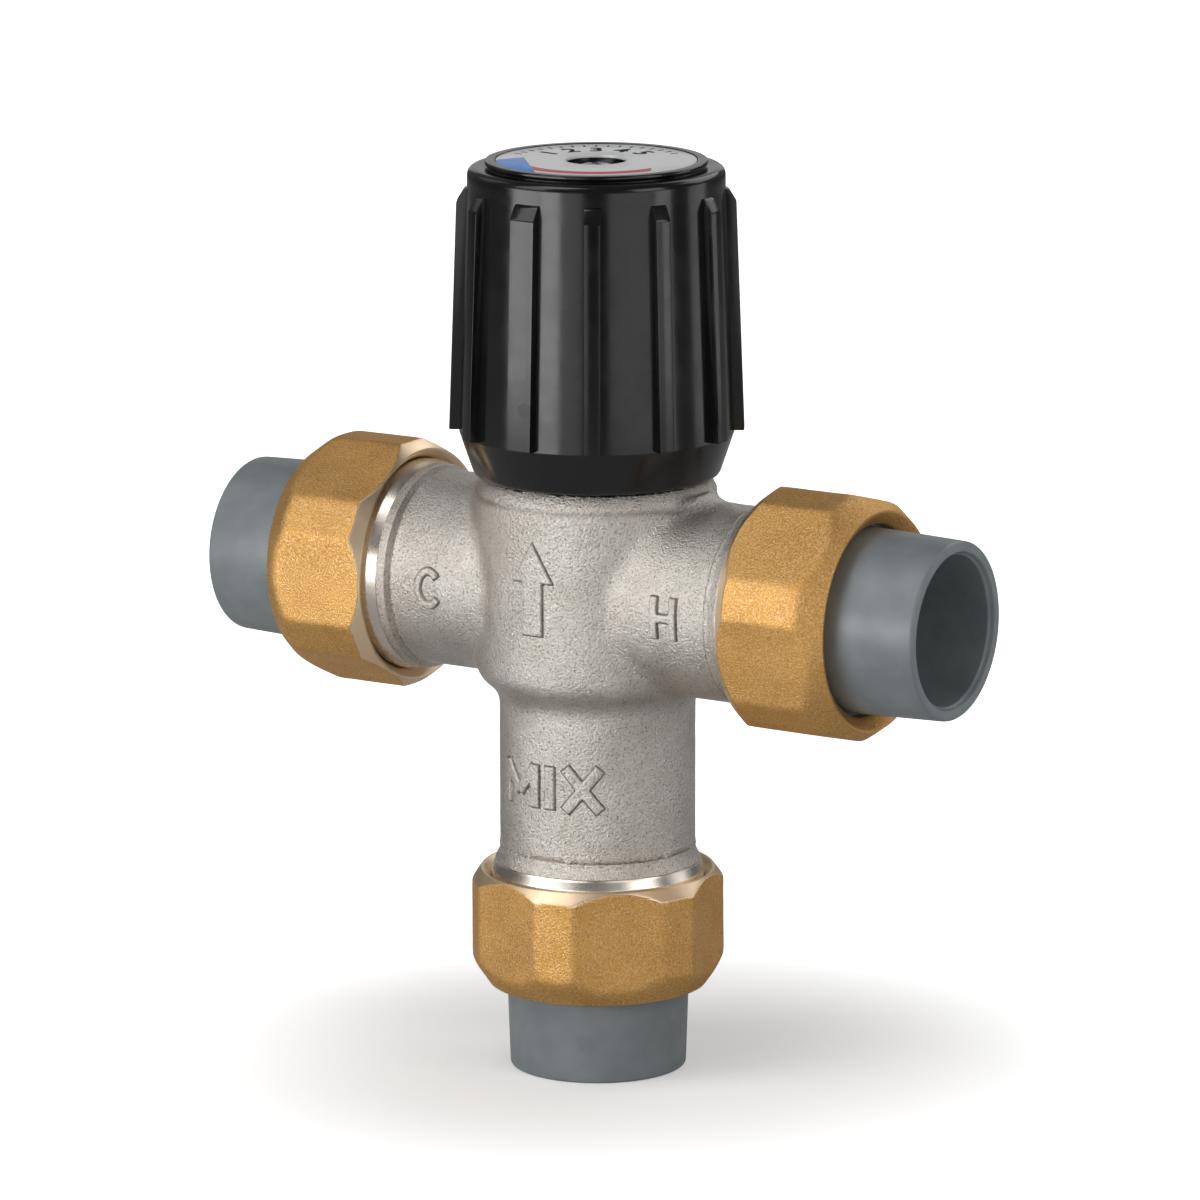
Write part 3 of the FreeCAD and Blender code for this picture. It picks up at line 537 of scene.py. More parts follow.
@dataclass(frozen=True)
class CastMetal(Finish):
    """Sand-cast metal with a mask attribute for what was turned afterwards."""

    colour: Colour = (0.73, 0.69, 0.645)
    dark: Colour = (0.60, 0.56, 0.51)
    turned_colour: Colour = (0.78, 0.71, 0.63)
    roughness: float = 0.35
    turned_roughness: float = 0.24
    grain_size: float = 3.3
    pits: float = 0.2
    relief: float = 0.22
    pit_shade: float = 0.62
    speckle: float = 0.6
    # Grime and painted shade: the cavity attribute darkens hollows towards this colour, partly
    # dirt, partly shade.
    grime_and_shade: float = 0.75
    grime_and_shade_colour: Colour = (0.13, 0.115, 0.10)

    def paint(self, sketch: Sketch, shader: Node) -> None:
        """Cast skin, speckled, with grime and painted shade in its hollows, and bright turned
        zones.
        """
        vector = sketch.in_millimetres()
        skin = self.effect(sketch, cast_grain_group(), Vector=vector, Grain=self.grain_size,
                           Pits=self.pits)
        smear = self.effect(sketch, handling_group(), Vector=vector)["Smear"]
        mask = sketch.attribute("turned")
        base = sketch.mix(sketch.ramp(skin["Tone"], 0.3, 0.7), self.dark, self.colour)
        base = sketch.mix(sketch.times(skin["Speckle"], self.speckle), base, self.turned_colour)
        uneven = sketch.times(sketch.ramp(skin["Tone"], 0.35, 0.6),
                              sketch.ramp(skin["Height"], 0.9, 0.5, 0.4, 1.0))
        uneven = sketch.plus(0.5, sketch.times(uneven, 0.7))
        # Grime and painted shade: hollows, creases, the valley and the marks' walls and halos
        # darken by their cavity value.
        grime_and_shade = sketch.times(sketch.attribute("cavity"), self.grime_and_shade)
        grime_and_shade = sketch.math("MULTIPLY", grime_and_shade, uneven, clamp=True)
        stain_and_shade = sketch.math("MAXIMUM", sketch.times(skin["Pit"], self.pit_shade), grime_and_shade)
        base = sketch.mix(stain_and_shade, base, self.grime_and_shade_colour)
        base = sketch.mix(mask, base, self.turned_colour)
        rough = sketch.plus(self.roughness, sketch.times(smear, 0.06))
        rough = sketch.less(rough, sketch.times(skin["Speckle"], 0.10))
        blend = sketch.add("ShaderNodeMix", data_type="FLOAT")
        sketch.put(blend.inputs[0], mask)
        sketch.put(blend.inputs[2], rough)
        sketch.put(blend.inputs[3], sketch.plus(self.turned_roughness, sketch.times(smear, 0.08)))
        height = sketch.times(skin["Height"], sketch.less(1.0, mask))
        sketch.feed(shader, Base_Color=base, Metallic=1.0, Roughness=blend.outputs[0],
                    Normal=sketch.bump(height, self.relief * MM))


@dataclass(frozen=True)
class PlainMetal(Finish):
    """Turned or drawn metal without a cast skin."""

    colour: Colour = (0.62, 0.62, 0.63)
    roughness: float = 0.24
    pitch: float = 0.25

    def paint(self, sketch: Sketch, shader: Node) -> None:
        """Turning marks along Z and light handling marks."""
        vector = sketch.in_millimetres()
        smear = self.effect(sketch, handling_group(), Vector=vector)["Smear"]
        lines = self.effect(sketch, lathe_lines_group(), Along=sketch.split(vector)[2],
                            Pitch=self.pitch)
        darker = tuple(0.72 * value for value in self.colour)
        sketch.feed(shader, Base_Color=sketch.mix(smear, self.colour, darker), Metallic=1.0,
                    Roughness=sketch.plus(self.roughness, sketch.times(smear, 0.12)),
                    Normal=sketch.bump(lines["Height"], 0.006 * MM))


@dataclass(frozen=True)
class Plastic(Finish):
    """Moulded plastic."""

    colour: Colour = (0.004, 0.004, 0.004)
    roughness: float = 0.15
    gloss: float = 0.5
    texture: float = 3.0
    relief: float = 0.004
    mottle: float = 0.10

    def paint(self, sketch: Sketch, shader: Node) -> None:
        """Fine moulded texture, faint mottling, smears and hairline scratches."""
        vector = sketch.in_millimetres()
        marks = self.effect(sketch, handling_group(), Vector=vector)
        fine = sketch.noise(vector, self.texture, 3.0, 0.6)
        slow = sketch.noise(vector, 0.2, 2.0)
        lighter = tuple(value * (1 + self.mottle) + 0.002 for value in self.colour)
        darker = tuple(value * (1 - self.mottle) for value in self.colour)
        rough = sketch.plus(self.roughness, sketch.times(marks["Smear"], 0.07))
        rough = sketch.plus(rough, sketch.times(marks["Scratch"], 0.12))
        height = sketch.plus(fine, sketch.times(slow, 2.0))
        sketch.feed(shader, Base_Color=sketch.mix(sketch.ramp(slow, 0.3, 0.7), darker, lighter),
                    Roughness=rough, Normal=sketch.bump(height, self.relief * MM))
        shader.inputs["Specular IOR Level"].default_value = self.gloss


@dataclass(frozen=True)
class Rubber(Finish):
    """Black seal rubber."""

    def paint(self, sketch: Sketch, shader: Node) -> None:
        """Matt, with a faint bloom."""
        vector = sketch.in_millimetres()
        bloom = sketch.ramp(sketch.noise(vector, 0.8, 3.0), 0.4, 0.7)
        base = sketch.mix(bloom, (0.018, 0.018, 0.018), (0.032, 0.031, 0.030))
        sketch.feed(shader, Base_Color=base, Roughness=0.62,
                    Normal=sketch.bump(sketch.noise(vector, 6.0, 2.0), 0.01 * MM))


@dataclass(frozen=True)
class LabelFilm(Finish):
    """Printed film: silver field, blue wedge and red arc, placed by the print's own UV."""

    span: float = 30.0
    field: Colour = (0.90, 0.91, 0.92)
    blue: Colour = (0.03, 0.26, 0.85)
    red: Colour = (0.62, 0.035, 0.05)

    def paint(self, sketch: Sketch, shader: Node) -> None:
        """Colour fields by place in the print, in millimetres from its middle."""
        uv = sketch.add("ShaderNodeUVMap", uv_map="print")
        across, up = (sketch.times(sketch.less(part, 0.5), self.span)
                      for part in sketch.split(uv.outputs[0])[:2])
        radius = sketch.math("SQRT", sketch.plus(sketch.times(across, across),
                                                 sketch.times(up, up)))
        lean = sketch.plus(across, sketch.times(up, 0.128))
        slant = sketch.less(up, sketch.times(across, 0.55))
        blue = sketch.times(sketch.ramp(lean, -10.35, -10.5), sketch.ramp(slant, 8.4, 8.2))
        red = sketch.times(sketch.ramp(radius, 11.1, 11.25), sketch.ramp(radius, 13.4, 13.2))
        red = sketch.times(red, sketch.ramp(up, -0.9, -1.1))
        red = sketch.times(red, sketch.ramp(across, 8.2, 7.9))
        base = sketch.mix(blue, sketch.mix(red, self.field, self.red), self.blue)
        vector = sketch.in_millimetres()
        wear = sketch.ramp(sketch.noise(vector, 0.5, 3.0), 0.45, 0.7)
        metal = sketch.less(0.15, sketch.times(sketch.math("MAXIMUM", red, blue), 0.15))
        sketch.feed(shader, Base_Color=base, Metallic=metal,
                    Roughness=sketch.plus(0.30, sketch.times(wear, 0.08)),
                    Normal=sketch.bump(sketch.noise(vector, 2.0, 2.0), 0.004 * MM))
        shader.inputs["Coat Weight"].default_value = 0.3
        shader.inputs["Coat Roughness"].default_value = 0.15


NICKEL = CastMetal("cast_nickel")
BRASS = CastMetal("cast_brass", colour=(0.78, 0.445, 0.135), dark=(0.69, 0.38, 0.11),
                  turned_colour=(0.92, 0.72, 0.50), roughness=0.50, turned_roughness=0.36,
                  grain_size=3.9, pits=0.15, relief=0.11, pit_shade=0.4,
                  grime_and_shade_colour=(0.20, 0.11, 0.035))
BLACK = Plastic("gloss_black_moulding")
GREY = Plastic("grey_pipe_plastic", colour=(0.195, 0.218, 0.230), roughness=0.33, texture=4.0,
               relief=0.022, mottle=0.08)
FILM = LabelFilm("printed_film")
STEEL = PlainMetal("bright_steel")
PLATED = PlainMetal("plated_screw", colour=(0.86, 0.86, 0.88), roughness=0.28, pitch=0.5)
TURNED_BRASS = PlainMetal("machined_brass", colour=(0.76, 0.58, 0.30), roughness=0.22)
COPPER = PlainMetal("drawn_copper", colour=(0.72, 0.42, 0.28), roughness=0.28)
INNER = Plastic("inner_moulding", colour=(0.05, 0.05, 0.055), roughness=0.4)
RUBBER = Rubber("moulded_rubber")
INK = Plastic("black_ink", colour=(0.012, 0.012, 0.014), roughness=0.7, gloss=0.2, relief=0.001)


def dress(piece: Object, finish: Finish) -> None:
    """Give a piece one finish all over."""
    piece.data.materials.clear()
    piece.data.materials.append(finish.build())


def placed(piece: Object, finish: Finish, body: str, slot: str, *nodes: str) -> Object:
    """Dress a piece and tie it to the frame.

    Args:
        piece: The piece, whose mesh is final.
        finish: What it is made of.
        body: Body it rides on.
        slot: Material slot of the record; not used.
        nodes: CAD nodes it stands for.

    Returns:
        The same piece.
    """
    dress(piece, finish)
    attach(piece, body)
    if nodes:
        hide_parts(*nodes)
    return piece


# --- Ports ---
class Port(Enum):
    """The three ports; the value is the direction that each one points in."""

    COLD = (-1, 0, 0)
    HOT = (1, 0, 0)
    MIX = (0, 0, -1)

    @property
    def label(self) -> str:
        """Name that starts the names of the port's nodes."""
        return self.name.lower()

    def matrix(self) -> Matrix:
        """Place of the union, whose axis hangs down from height 0 before it is placed.

        Returns:
            The matrix that turns a hanging union to this port.
        """
        low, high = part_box(self.label + "_union_nut")
        centre = (low + high) / 2
        if self is Port.MIX:
            return Matrix.Translation(Vector((centre.x, centre.y, high.z)))
        start = high.x if self is Port.COLD else low.x
        side = self.value[0]
        turn = Matrix.Rotation(math.radians(-90 * side), 4, "Y")
        return Matrix.Translation(Vector((start, centre.y, centre.z))) @ turn


@dataclass
class UnionNut:
    """Cast union nut with six wide and six narrow faces."""

    port: Port
    turn: float
    across_flats: float = 35.5 * MM
    across_corners: float = 37.6 * MM
    inner_chamfer: tuple[float, float] = (1.4 * MM, 1.9 * MM)
    outer_chamfer: tuple[float, float] = (2.6 * MM, 3.7 * MM)
    rim: float = 0.45 * MM
    mouth: float = 1.3 * MM
    bore: float = 16.08 * MM
    hole: float = 14.3 * MM
    lip: float = 3.2 * MM
    soften: float = 0.35 * MM
    unevenness: float = 0.05 * MM
    edge: float = 0.15 * MM
    wave_scales: tuple[float, float] = (140, 420)
    face_steps: tuple[int, int] = (26, 14)
    row_steps: tuple[int, int] = (14, 22)

    def build(self) -> Object:
        """Make the nut and put it in place of its CAD node.

        Returns:
            The finished piece.
        """
        low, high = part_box(self.port.label + "_union_nut")
        size = high - low
        self.length = size.z if self.port is Port.MIX else size.x
        angles = self.columns()
        heights = self.rows()
        corner = math.hypot(self.across_flats,
                            2 * self.across_corners - self.across_flats * math.sqrt(3)) / 2
        inner = self.inside(corner)
        points: list[Vector] = []
        turned_mask: list[float] = []
        for angle in angles:
            for height in heights:
                radius = self.outer_radius(angle, height, corner)
                point = Vector((radius * math.cos(angle), radius * math.sin(angle), height))
                bright = 1.0 if height > -self.inner_chamfer[1] and radius < corner - 0.1 * MM \
                    and self.chamfered(angle, height, corner) else 0.0
                if not bright:
                    coarse, fine = (noise.noise(point * scale) for scale in self.wave_scales)
                    wave = coarse + 0.5 * fine
                    point *= 1 + self.unevenness * wave / radius
                    point.z = height
                points.append(point)
                turned_mask.append(bright)
            for radius, height in inner:
                points.append(Vector((radius * math.cos(angle), radius * math.sin(angle), height)))
                turned_mask.append(1.0 if height > -self.length + self.lip else 0.0)
        rows = len(heights) + len(inner)
        mesh = mesh_from(self.port.label + "_nut_cast", points, quads(len(angles), rows))
        add_values(mesh, "turned", turned_mask)
        smooth_by_angle(mesh, 50)
        mesh.transform(self.port.matrix())
        piece = link_mesh(self.port.label + "_nut_cast", mesh)
        return placed(piece, BRASS, self.port.label + "_nut", "raw_brass",
                      self.port.label + "_union_nut")

    def columns(self) -> list[float]:
        """Angles of the mesh columns, closer together near the edges between faces."""
        half_wide = math.degrees(math.atan(
            (self.across_corners / self.across_flats - math.cos(math.radians(30)))
            / math.sin(math.radians(30))))
        wide, narrow = self.face_steps
        angles = []
        for face in range(6):
            middle = self.turn + 60 * face
            for start, end, steps in ((-half_wide, half_wide, wide),
                                      (half_wide, 60 - half_wide, narrow)):
                for step in range(steps):
                    share = 0.5 - 0.5 * math.cos(math.pi * step / steps)
                    angles.append(math.radians(middle + start + (end - start) * share))
        return angles

    def rows(self) -> list[float]:
        """Heights of the mesh rows, closer together at the two chamfers."""
        start = -self.inner_chamfer[1] * 1.15
        end = -self.length + self.outer_chamfer[1] * 1.1
        few, many = self.row_steps
        heights = [start * step / few for step in range(few)]
        heights += [start + (end - start) * step / few for step in range(few)]
        heights += [end + (-self.length - end) * step / many for step in range(many + 1)]
        return heights

    def faces_radius(self, angle: float) -> float:
        """Distance of the twelve flat faces from the axis in one direction."""
        nearest = 1.0
        for face in range(12):
            across = self.across_flats if face % 2 == 0 else self.across_corners
            away = math.cos(angle - math.radians(self.turn + 30 * face))
            if away > 0.5:
                nearest = soft_min(nearest, across / 2 / away, self.soften)
        return nearest

    def cones(self, height: float, corner: float) -> tuple[float, float]:
        """Radii of the two chamfer cones at a height."""
        inner = corner - self.inner_chamfer[0] * (1 + height / self.inner_chamfer[1])
        outer = corner - self.outer_chamfer[0] * (
            1 - (height + self.length) / self.outer_chamfer[1])
        return inner, outer

    def chamfered(self, angle: float, height: float, corner: float) -> bool:
        """True where the inner chamfer cuts deeper than the faces."""
        return self.cones(height, corner)[0] < self.faces_radius(angle)

    def outer_radius(self, angle: float, height: float, corner: float) -> float:
        """Radius of the outside: faces and chamfers, with softened edges."""
        inner, outer = self.cones(height, corner)
        radius = soft_min(self.faces_radius(angle), outer, self.soften * 2)
        return soft_min(radius, inner, self.soften * 0.4)

    def inside(self, corner: float) -> Outline:
        """Outline of the two ends and the bore, from the outer end to the inner one."""
        out_rim = corner - self.outer_chamfer[0] - self.rim
        in_rim = corner - self.inner_chamfer[0] - self.rim
        shelf = -self.length + self.lip
        edge = self.edge
        return [
            (out_rim + edge, -self.length), (out_rim, -self.length + edge * 0.5),
            (self.hole + edge, -self.length + self.mouth),
            (self.hole, -self.length + self.mouth + edge), (self.hole, shelf - edge),
            (self.hole + edge, shelf), (self.bore, shelf), (self.bore, -self.mouth - edge),
            (self.bore + edge, -self.mouth), (in_rim, -edge * 0.5), (in_rim + edge, 0.0)]


NUT_TURNS = {Port.COLD: 30.7, Port.HOT: 15.5, Port.MIX: 11.2}


def soft_min(first: float, second: float, soften: float) -> float:
    """Smaller of two values, with a rounded changeover.

    Args:
        first: One value.
        second: The other value.
        soften: Size of the rounding.

    Returns:
        The smoothed minimum.
    """
    near = max(soften - abs(first - second), 0.0) / soften
    return min(first, second) - near * near * soften / 4


@dataclass
class Tailpiece:
    """Grey plastic tailpiece with a solvent-weld socket."""

    port: Port
    thread_length: float = 9.2 * MM
    gasket: float = 2.0 * MM
    flange: float = 3.0 * MM
    flange_radius: float = 15.7 * MM
    radius: float = 13.7 * MM
    end_radius: float = 13.26 * MM
    nut_length: float = 17.5 * MM
    stick_out: float = 12.9 * MM
    socket_radius: float = 11.15 * MM
    socket_depth: float = 18.0 * MM
    bore: float = 9.5 * MM
    segments: int = 160
    edge: float = 0.3 * MM

    def build(self) -> Object:
        """Make the tailpiece and put it in place of its CAD node.

        Returns:
            The finished piece.
        """
        top = -self.thread_length - self.gasket
        shelf = top - self.flange
        end = -self.nut_length - self.stick_out
        stop = end + self.socket_depth
        edge = self.edge
        outline = rounded([
            (self.bore, top, edge), (self.flange_radius, top, edge),
            (self.flange_radius, shelf, edge), (self.radius, shelf, edge),
            (self.radius, -self.nut_length, 0.0), (self.end_radius, end, edge * 1.6),
            (self.socket_radius + 1.9 * edge, end, edge * 0.6),
            (self.socket_radius + edge, end + 2 * edge, edge * 0.5),
            (self.socket_radius, end + 3 * edge, edge),
            (self.socket_radius, stop, edge), (self.bore, stop, edge)])
        mesh = turned(self.port.label + "_tail_moulding", outline, self.segments)
        smooth_by_angle(mesh, 40)
        mesh.transform(self.port.matrix())
        piece = link_mesh(self.port.label + "_tail_moulding", mesh)
        return placed(piece, GREY, "valve", "grey_plastic", self.port.label + "_tailpiece")


# --- Body ---
LETTER_H: Strokes = [(-1.6, -3.1, -1.6, 3.1), (1.6, -3.1, 1.6, 3.1), (-1.6, 0, 1.6, 0)]
LETTER_C: Strokes = [
    (1.8 * math.cos(a - 0.13), 2.6 * math.sin(a - 0.13),
     1.8 * math.cos(a + 0.13), 2.6 * math.sin(a + 0.13))
    for a in (math.radians(48 + 14.1 * step) for step in range(20))]
LETTERS_MIX: Strokes = [
    (-8.0, -3.2, -8.0, 3.2), (-1.9, -3.2, -1.9, 3.2), (-8.0, 2.9, -4.95, -1.2),
    (-4.95, -1.2, -1.9, 2.9), (0.75, -3.2, 0.75, 3.2), (3.3, -3.2, 8.5, 3.2),
    (3.3, 3.2, 8.5, -3.2)]
# Name, strokes, stroke width, distance along X and level over the port axis, and port.
LETTERS = (("c", LETTER_C, 0.95, -20.6, 0.0, Port.COLD), ("h", LETTER_H, 1.1, 20.4, 0.0, Port.HOT),
           ("mix", LETTERS_MIX, 1.5, 0.0, -28.0, Port.MIX))


@dataclass
class Casting:
    """Plated body: its CAD form with softened cast edges and turned rings at the ports."""

    neck_radius: float = 14.7 * MM
    hub_radius: float = 18.15 * MM
    lip_radius: float = 15.45 * MM
    thread_radius: float = 16.0 * MM
    lip_band: float = 1.4 * MM
    lip_flank: float = 1.5 * MM
    groove: float = 0.35 * MM
    rim_level: float = 17.05 * MM
    bore_limit: float = 14.0 * MM
    weld: float = 0.0005 * MM
    cell: float = 0.6 * MM
    soften: int = 4
    cavity_depth: float = 0.45 * MM
    cavity_start: float = 0.15
    hollow_steps: int = 30
    plain_end: float = 5.5 * MM
    valley_level: float = 14.4 * MM
    valley: tuple[float, float] = (0.8 * MM, 0.32 * MM)
    valley_inset: float = 1.2 * MM
    valley_fade: float = 1.5 * MM
    valley_grime_and_shade: float = 0.9
    unevenness: float = 0.03 * MM
    crest: float = 0.12 * MM
    crest_level: float = 14.0 * MM
    wave_scales: tuple[float, float] = (330, 900)
    ring_edge: float = 0.12 * MM
    ring_segments: int = 160
    letter_relief: float = 0.45 * MM
    arrow_level: float = 2.75 * MM
    # The halo is a low shell round each mark, darkened as painted shade with some grime.
    halo: float = 0.26 * MM
    halo_relief: float = 0.09 * MM
    mark_cell: float = 0.13 * MM
    mark_grime_and_shade: float = 1.3
    mark_unevenness: float = 0.05 * MM

    def build(self, frame: dict) -> list[Object]:
        """Make the casting and its raised marks.


        Returns:
            The pieces made.
        """
        low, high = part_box("cold_tailpiece")
        self.port_axis = (low.z + high.z) / 2
        self.side_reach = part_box("hot_union_nut")[0].x
        self.mix_reach = self.port_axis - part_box("mix_union_nut")[1].z
        skin = self.cast_skin(frame["nodes"]["valve_body"].data)
        rings = [self.lip_ring(port) for port in Port]
        piece = link_mesh("valve_casting", joined("valve_casting", [skin, *rings]))
        return [placed(piece, NICKEL, "valve", "nickel_plate", "valve_body"), *self.marks()]

    def cast_skin(self, source: Mesh) -> Mesh:
        """Even mesh of the CAD form, smoothed and slightly uneven where it is as cast.

        Args:
            source: Mesh of the CAD node, which stays as it is.

        Returns:
            The new mesh, with its turned attribute.
        """
        mesh = source.copy()
        with editing(mesh) as work:
            bmesh.ops.remove_doubles(work, verts=work.verts, dist=self.weld)
        piece = link_mesh("cast_skin", mesh)
        add_voxels(piece, self.cell)
        baked(piece)
        cast = [v.index for v in piece.data.vertices if self.as_cast(v.co)]
        hollow = self.hollows(piece.data, cast)
        mesh = self.relaxed(piece, cast, self.soften)
        add_values(mesh, "cavity", hollow)
        self.roughen(mesh, set(cast))
        smooth_by_angle(mesh, 60)
        return mesh

    def hollows(self, mesh: Mesh, cast: list[int]) -> list[float]:
        """How far each point lies in a hollow, found by how far smoothing lifts it; the material
        darkens hollows with grime and painted shade.

        Args:
            mesh: The even mesh.
            cast: Numbers of the points that are as cast.

        Returns:
            A share from 0 to 1 for each point.
        """
        lifted = self.relaxed(link_mesh("probe", mesh.copy()), cast, self.hollow_steps)
        shares = [0.0] * len(mesh.vertices)
        for index in cast:
            start = mesh.vertices[index]
            level = start.co.z - self.port_axis + self.mix_reach
            if min(level, self.side_reach - start.co.x) < self.plain_end:
                continue
            lift = (lifted.vertices[index].co - start.co).dot(start.normal)
            shares[index] = min(max(lift / self.cavity_depth - self.cavity_start, 0.0), 1.0)
        return shares

    @staticmethod
    def relaxed(piece: Object, cast: list[int], steps: int) -> Mesh:
        """Smooth the cast points of a piece, which is used up.

        Args:
            piece: Object that holds the mesh.
            cast: Numbers of the points that are as cast.
            steps: Smoothing steps.

        Returns:
            The smoothed mesh.
        """
        piece.vertex_groups.new(name="cast").add(cast, 1.0, "REPLACE")
        add_relax(piece, 0.5, steps, "cast")
        mesh = baked(piece).data
        piece.vertex_groups.clear()
        bpy.data.objects.remove(piece)
        return mesh

    def off_axes(self, place: Vector) -> tuple[float, float, float]:
        """Distances of a place from the side ports' axis and the hub's, and its level."""
        level = place.z - self.port_axis
        return math.hypot(place.y, level), math.hypot(place.x, place.y), level

    def as_cast(self, place: Vector) -> bool:
        """True on the outside between the turned ends."""
        side, hub, level = self.off_axes(place)
        band = self.lip_flank + self.lip_band + 2 * self.groove
        outside = side > self.bore_limit and hub > self.bore_limit
        return (outside and abs(place.x) < self.side_reach - band
                and -self.mix_reach + band < level < self.rim_level)

    def roughen(self, mesh: Mesh, cast: set[int]) -> None:
        """Give the cast faces slow waves and a ragged crest, and make room for the rings.

        Args:
            mesh: The even mesh, changed in place.
            cast: Numbers of the points that are as cast.
        """
        band = self.lip_flank + self.lip_band + 2 * self.groove
        seat = self.neck_radius - 2 * self.groove
        normals = [vertex.normal.copy() for vertex in mesh.vertices]
        cavity = mesh.attributes["cavity"]
        places: list[float] = []
        mask = []
        for index, place in enumerate([vertex.co.copy() for vertex in mesh.vertices]):
            side, hub, level = self.off_axes(place)
            if index in cast:
                coarse, fine = (noise.noise(place * scale) for scale in self.wave_scales)
                wave = coarse + 0.6 * fine
                size = self.unevenness
                if hub > self.hub_radius + 0.1 * MM and self.crest_level < level < self.rim_level:
                    size = self.crest
                place += normals[index] * wave * size
                wide, deep = self.valley
                off = level - self.valley_level
                if hub > self.hub_radius - self.valley_inset and abs(off) < wide:
                    share = 0.5 + 0.5 * math.cos(math.pi * off / wide)
                    near = (self.hub_radius + self.valley_fade - hub) / self.valley_inset
                    near = min(max(near, 0.0), 1.0)
                    place -= normals[index] * deep * share * near
                    # Painted shade with some grime: the valley under the collar is darkened
                    # through its cavity value.
                    cavity.data[index].value = max(cavity.data[index].value,
                                                   share * near * self.valley_grime_and_shade)
            elif -band < abs(place.x) - self.side_reach < band / 2 and side > self.bore_limit:
                place.y *= seat / side
                place.z = self.port_axis + level * seat / side
            elif -band / 2 < level + self.mix_reach < band and hub > self.bore_limit:
                place.x *= seat / hub
                place.y *= seat / hub
            places.extend(place)
            mask.append(0.0 if index in cast else 1.0)
        mesh.vertices.foreach_set("co", places)
        add_values(mesh, "turned", mask)

    def lip_ring(self, port: Port) -> Mesh:
        """Ring behind the thread: a stepped band or a plain rise, then the turned cone."""
        band = self.lip_flank + self.lip_band
        root = self.neck_radius - 4 * self.groove
        edge = self.ring_edge
        corners: Profile = [
            (root, band + 2.4 * self.groove, 0.0),
            (self.neck_radius + 0.02 * MM, band + 2.4 * self.groove, edge),
            (self.neck_radius - self.groove, band + self.groove, edge),
            (self.lip_radius, band, edge), (self.lip_radius, self.lip_flank, edge)]
        bright = self.lip_flank * 1.02
        if port is not Port.COLD:
            bright = self.lip_flank * (0.75 if port is Port.HOT else 1.02)
            corners[2:] = [(self.neck_radius + 0.05 * MM, band, 4 * edge),
                           (self.lip_radius, self.lip_flank, 6 * edge),
                           (self.lip_radius + 0.05 * MM, self.lip_flank * 0.8, edge)]
        outline = rounded([*corners, (self.thread_radius, 0.0, edge),
                           (self.thread_radius, -band, edge), (root, -band, 0.0)], 3)
        ring = turned(port.label + "_lip", outline, self.ring_segments)
        add_values(ring, "turned", [float(vertex.co.z < bright) for vertex in ring.vertices])
        smooth_by_angle(ring, 40)
        ring.transform(port.matrix())
        return ring

    def marks(self) -> list[Object]:
        """Raised port letters and a plain arrow on the hub."""
        pieces = []
        for label, lines, width, x, level, port in LETTERS:
            centre = Vector((x * MM, 0, self.port_axis + level * MM))
            pieces.append(self.mark(label, self.strokes(lines, width * MM), centre, port,
                                    self.neck_radius))
        arrow = joined("arrow", [self.arrow(0.0), self.arrow(self.halo)])
        centre = Vector((0, 0, self.port_axis + self.arrow_level))
        return [*pieces, self.mark("arrow", arrow, centre, Port.MIX, self.hub_radius)]

    def strokes(self, lines: Strokes, width: float) -> Mesh:
        """Letters made of straight strokes, as overlapping blocks in the XY plane.

        Args:
            lines: Ends of each stroke's middle line, in millimetres.
            width: Width of the strokes.

        Returns:
            Mesh of the blocks.
        """
        mesh = bpy.data.meshes.new("strokes")
        with editing(mesh) as work:
            for x, y, to_x, to_y in lines:
                start, end = Vector((x, y, 0)) * MM, Vector((to_x, to_y, 0)) * MM
                along = end - start
                turn = Matrix.Rotation(math.atan2(along.y, along.x), 4, "Z")
                # The grown block is the low halo, which is darkened as painted shade with some
                # grime.
                for grow in (0.0, self.halo):
                    top = self.halo_relief if grow else self.letter_relief
                    middle = (start + end) / 2 + Vector((0, 0, (top - self.letter_relief) / 2))
                    size = Matrix.Diagonal((along.length + 2 * grow, width + 2 * grow,
                                            top + self.letter_relief, 1.0))
                    bmesh.ops.create_cube(work, size=1.0,
                                          matrix=Matrix.Translation(middle) @ turn @ size)
        return mesh

    def arrow(self, grow: float) -> Mesh:
        """Flat arrow that points up, in the XY plane.

        Args:
            grow: How far its outline is pushed outward; above zero it is the low halo, darkened as
                painted shade with some grime.

        Returns:
            The mesh.
        """
        head, shaft, top, neck, foot = (value * MM for value in (3.3, 1.6, 6.9, 1.1, -6.9))
        outline = [(0, top + 2.0 * grow), (head + 1.5 * grow, neck - grow),
                   (shaft + grow, neck - grow), (shaft + grow, foot - grow),
                   (-shaft - grow, foot - grow), (-shaft - grow, neck - grow),
                   (-head - 1.5 * grow, neck - grow)]
        levels = (-self.letter_relief, self.halo_relief if grow else self.letter_relief)
        return mesh_from("arrow", *prism(outline, levels))

    def mark(self, label: str, flat: Mesh, centre: Vector, port: Port,
             radius: float) -> Object:
        """Raised mark, wrapped on a neck or on the hub.

        Args:
            label: Short name of the mark.
            flat: Its flat mesh.
            centre: Place on the axis it is wrapped about.
            port: Port whose direction that axis has.
            radius: Radius it is wrapped on.

        Returns:
            The piece.
        """
        name = "cast_mark_" + label
        piece = link_mesh(name, flat)
        add_voxels(piece, self.mark_cell)
        add_relax(piece, 0.6, 3)
        baked(piece)
        cavity = []
        for vertex in piece.data.vertices:
            across, up, out = vertex.co
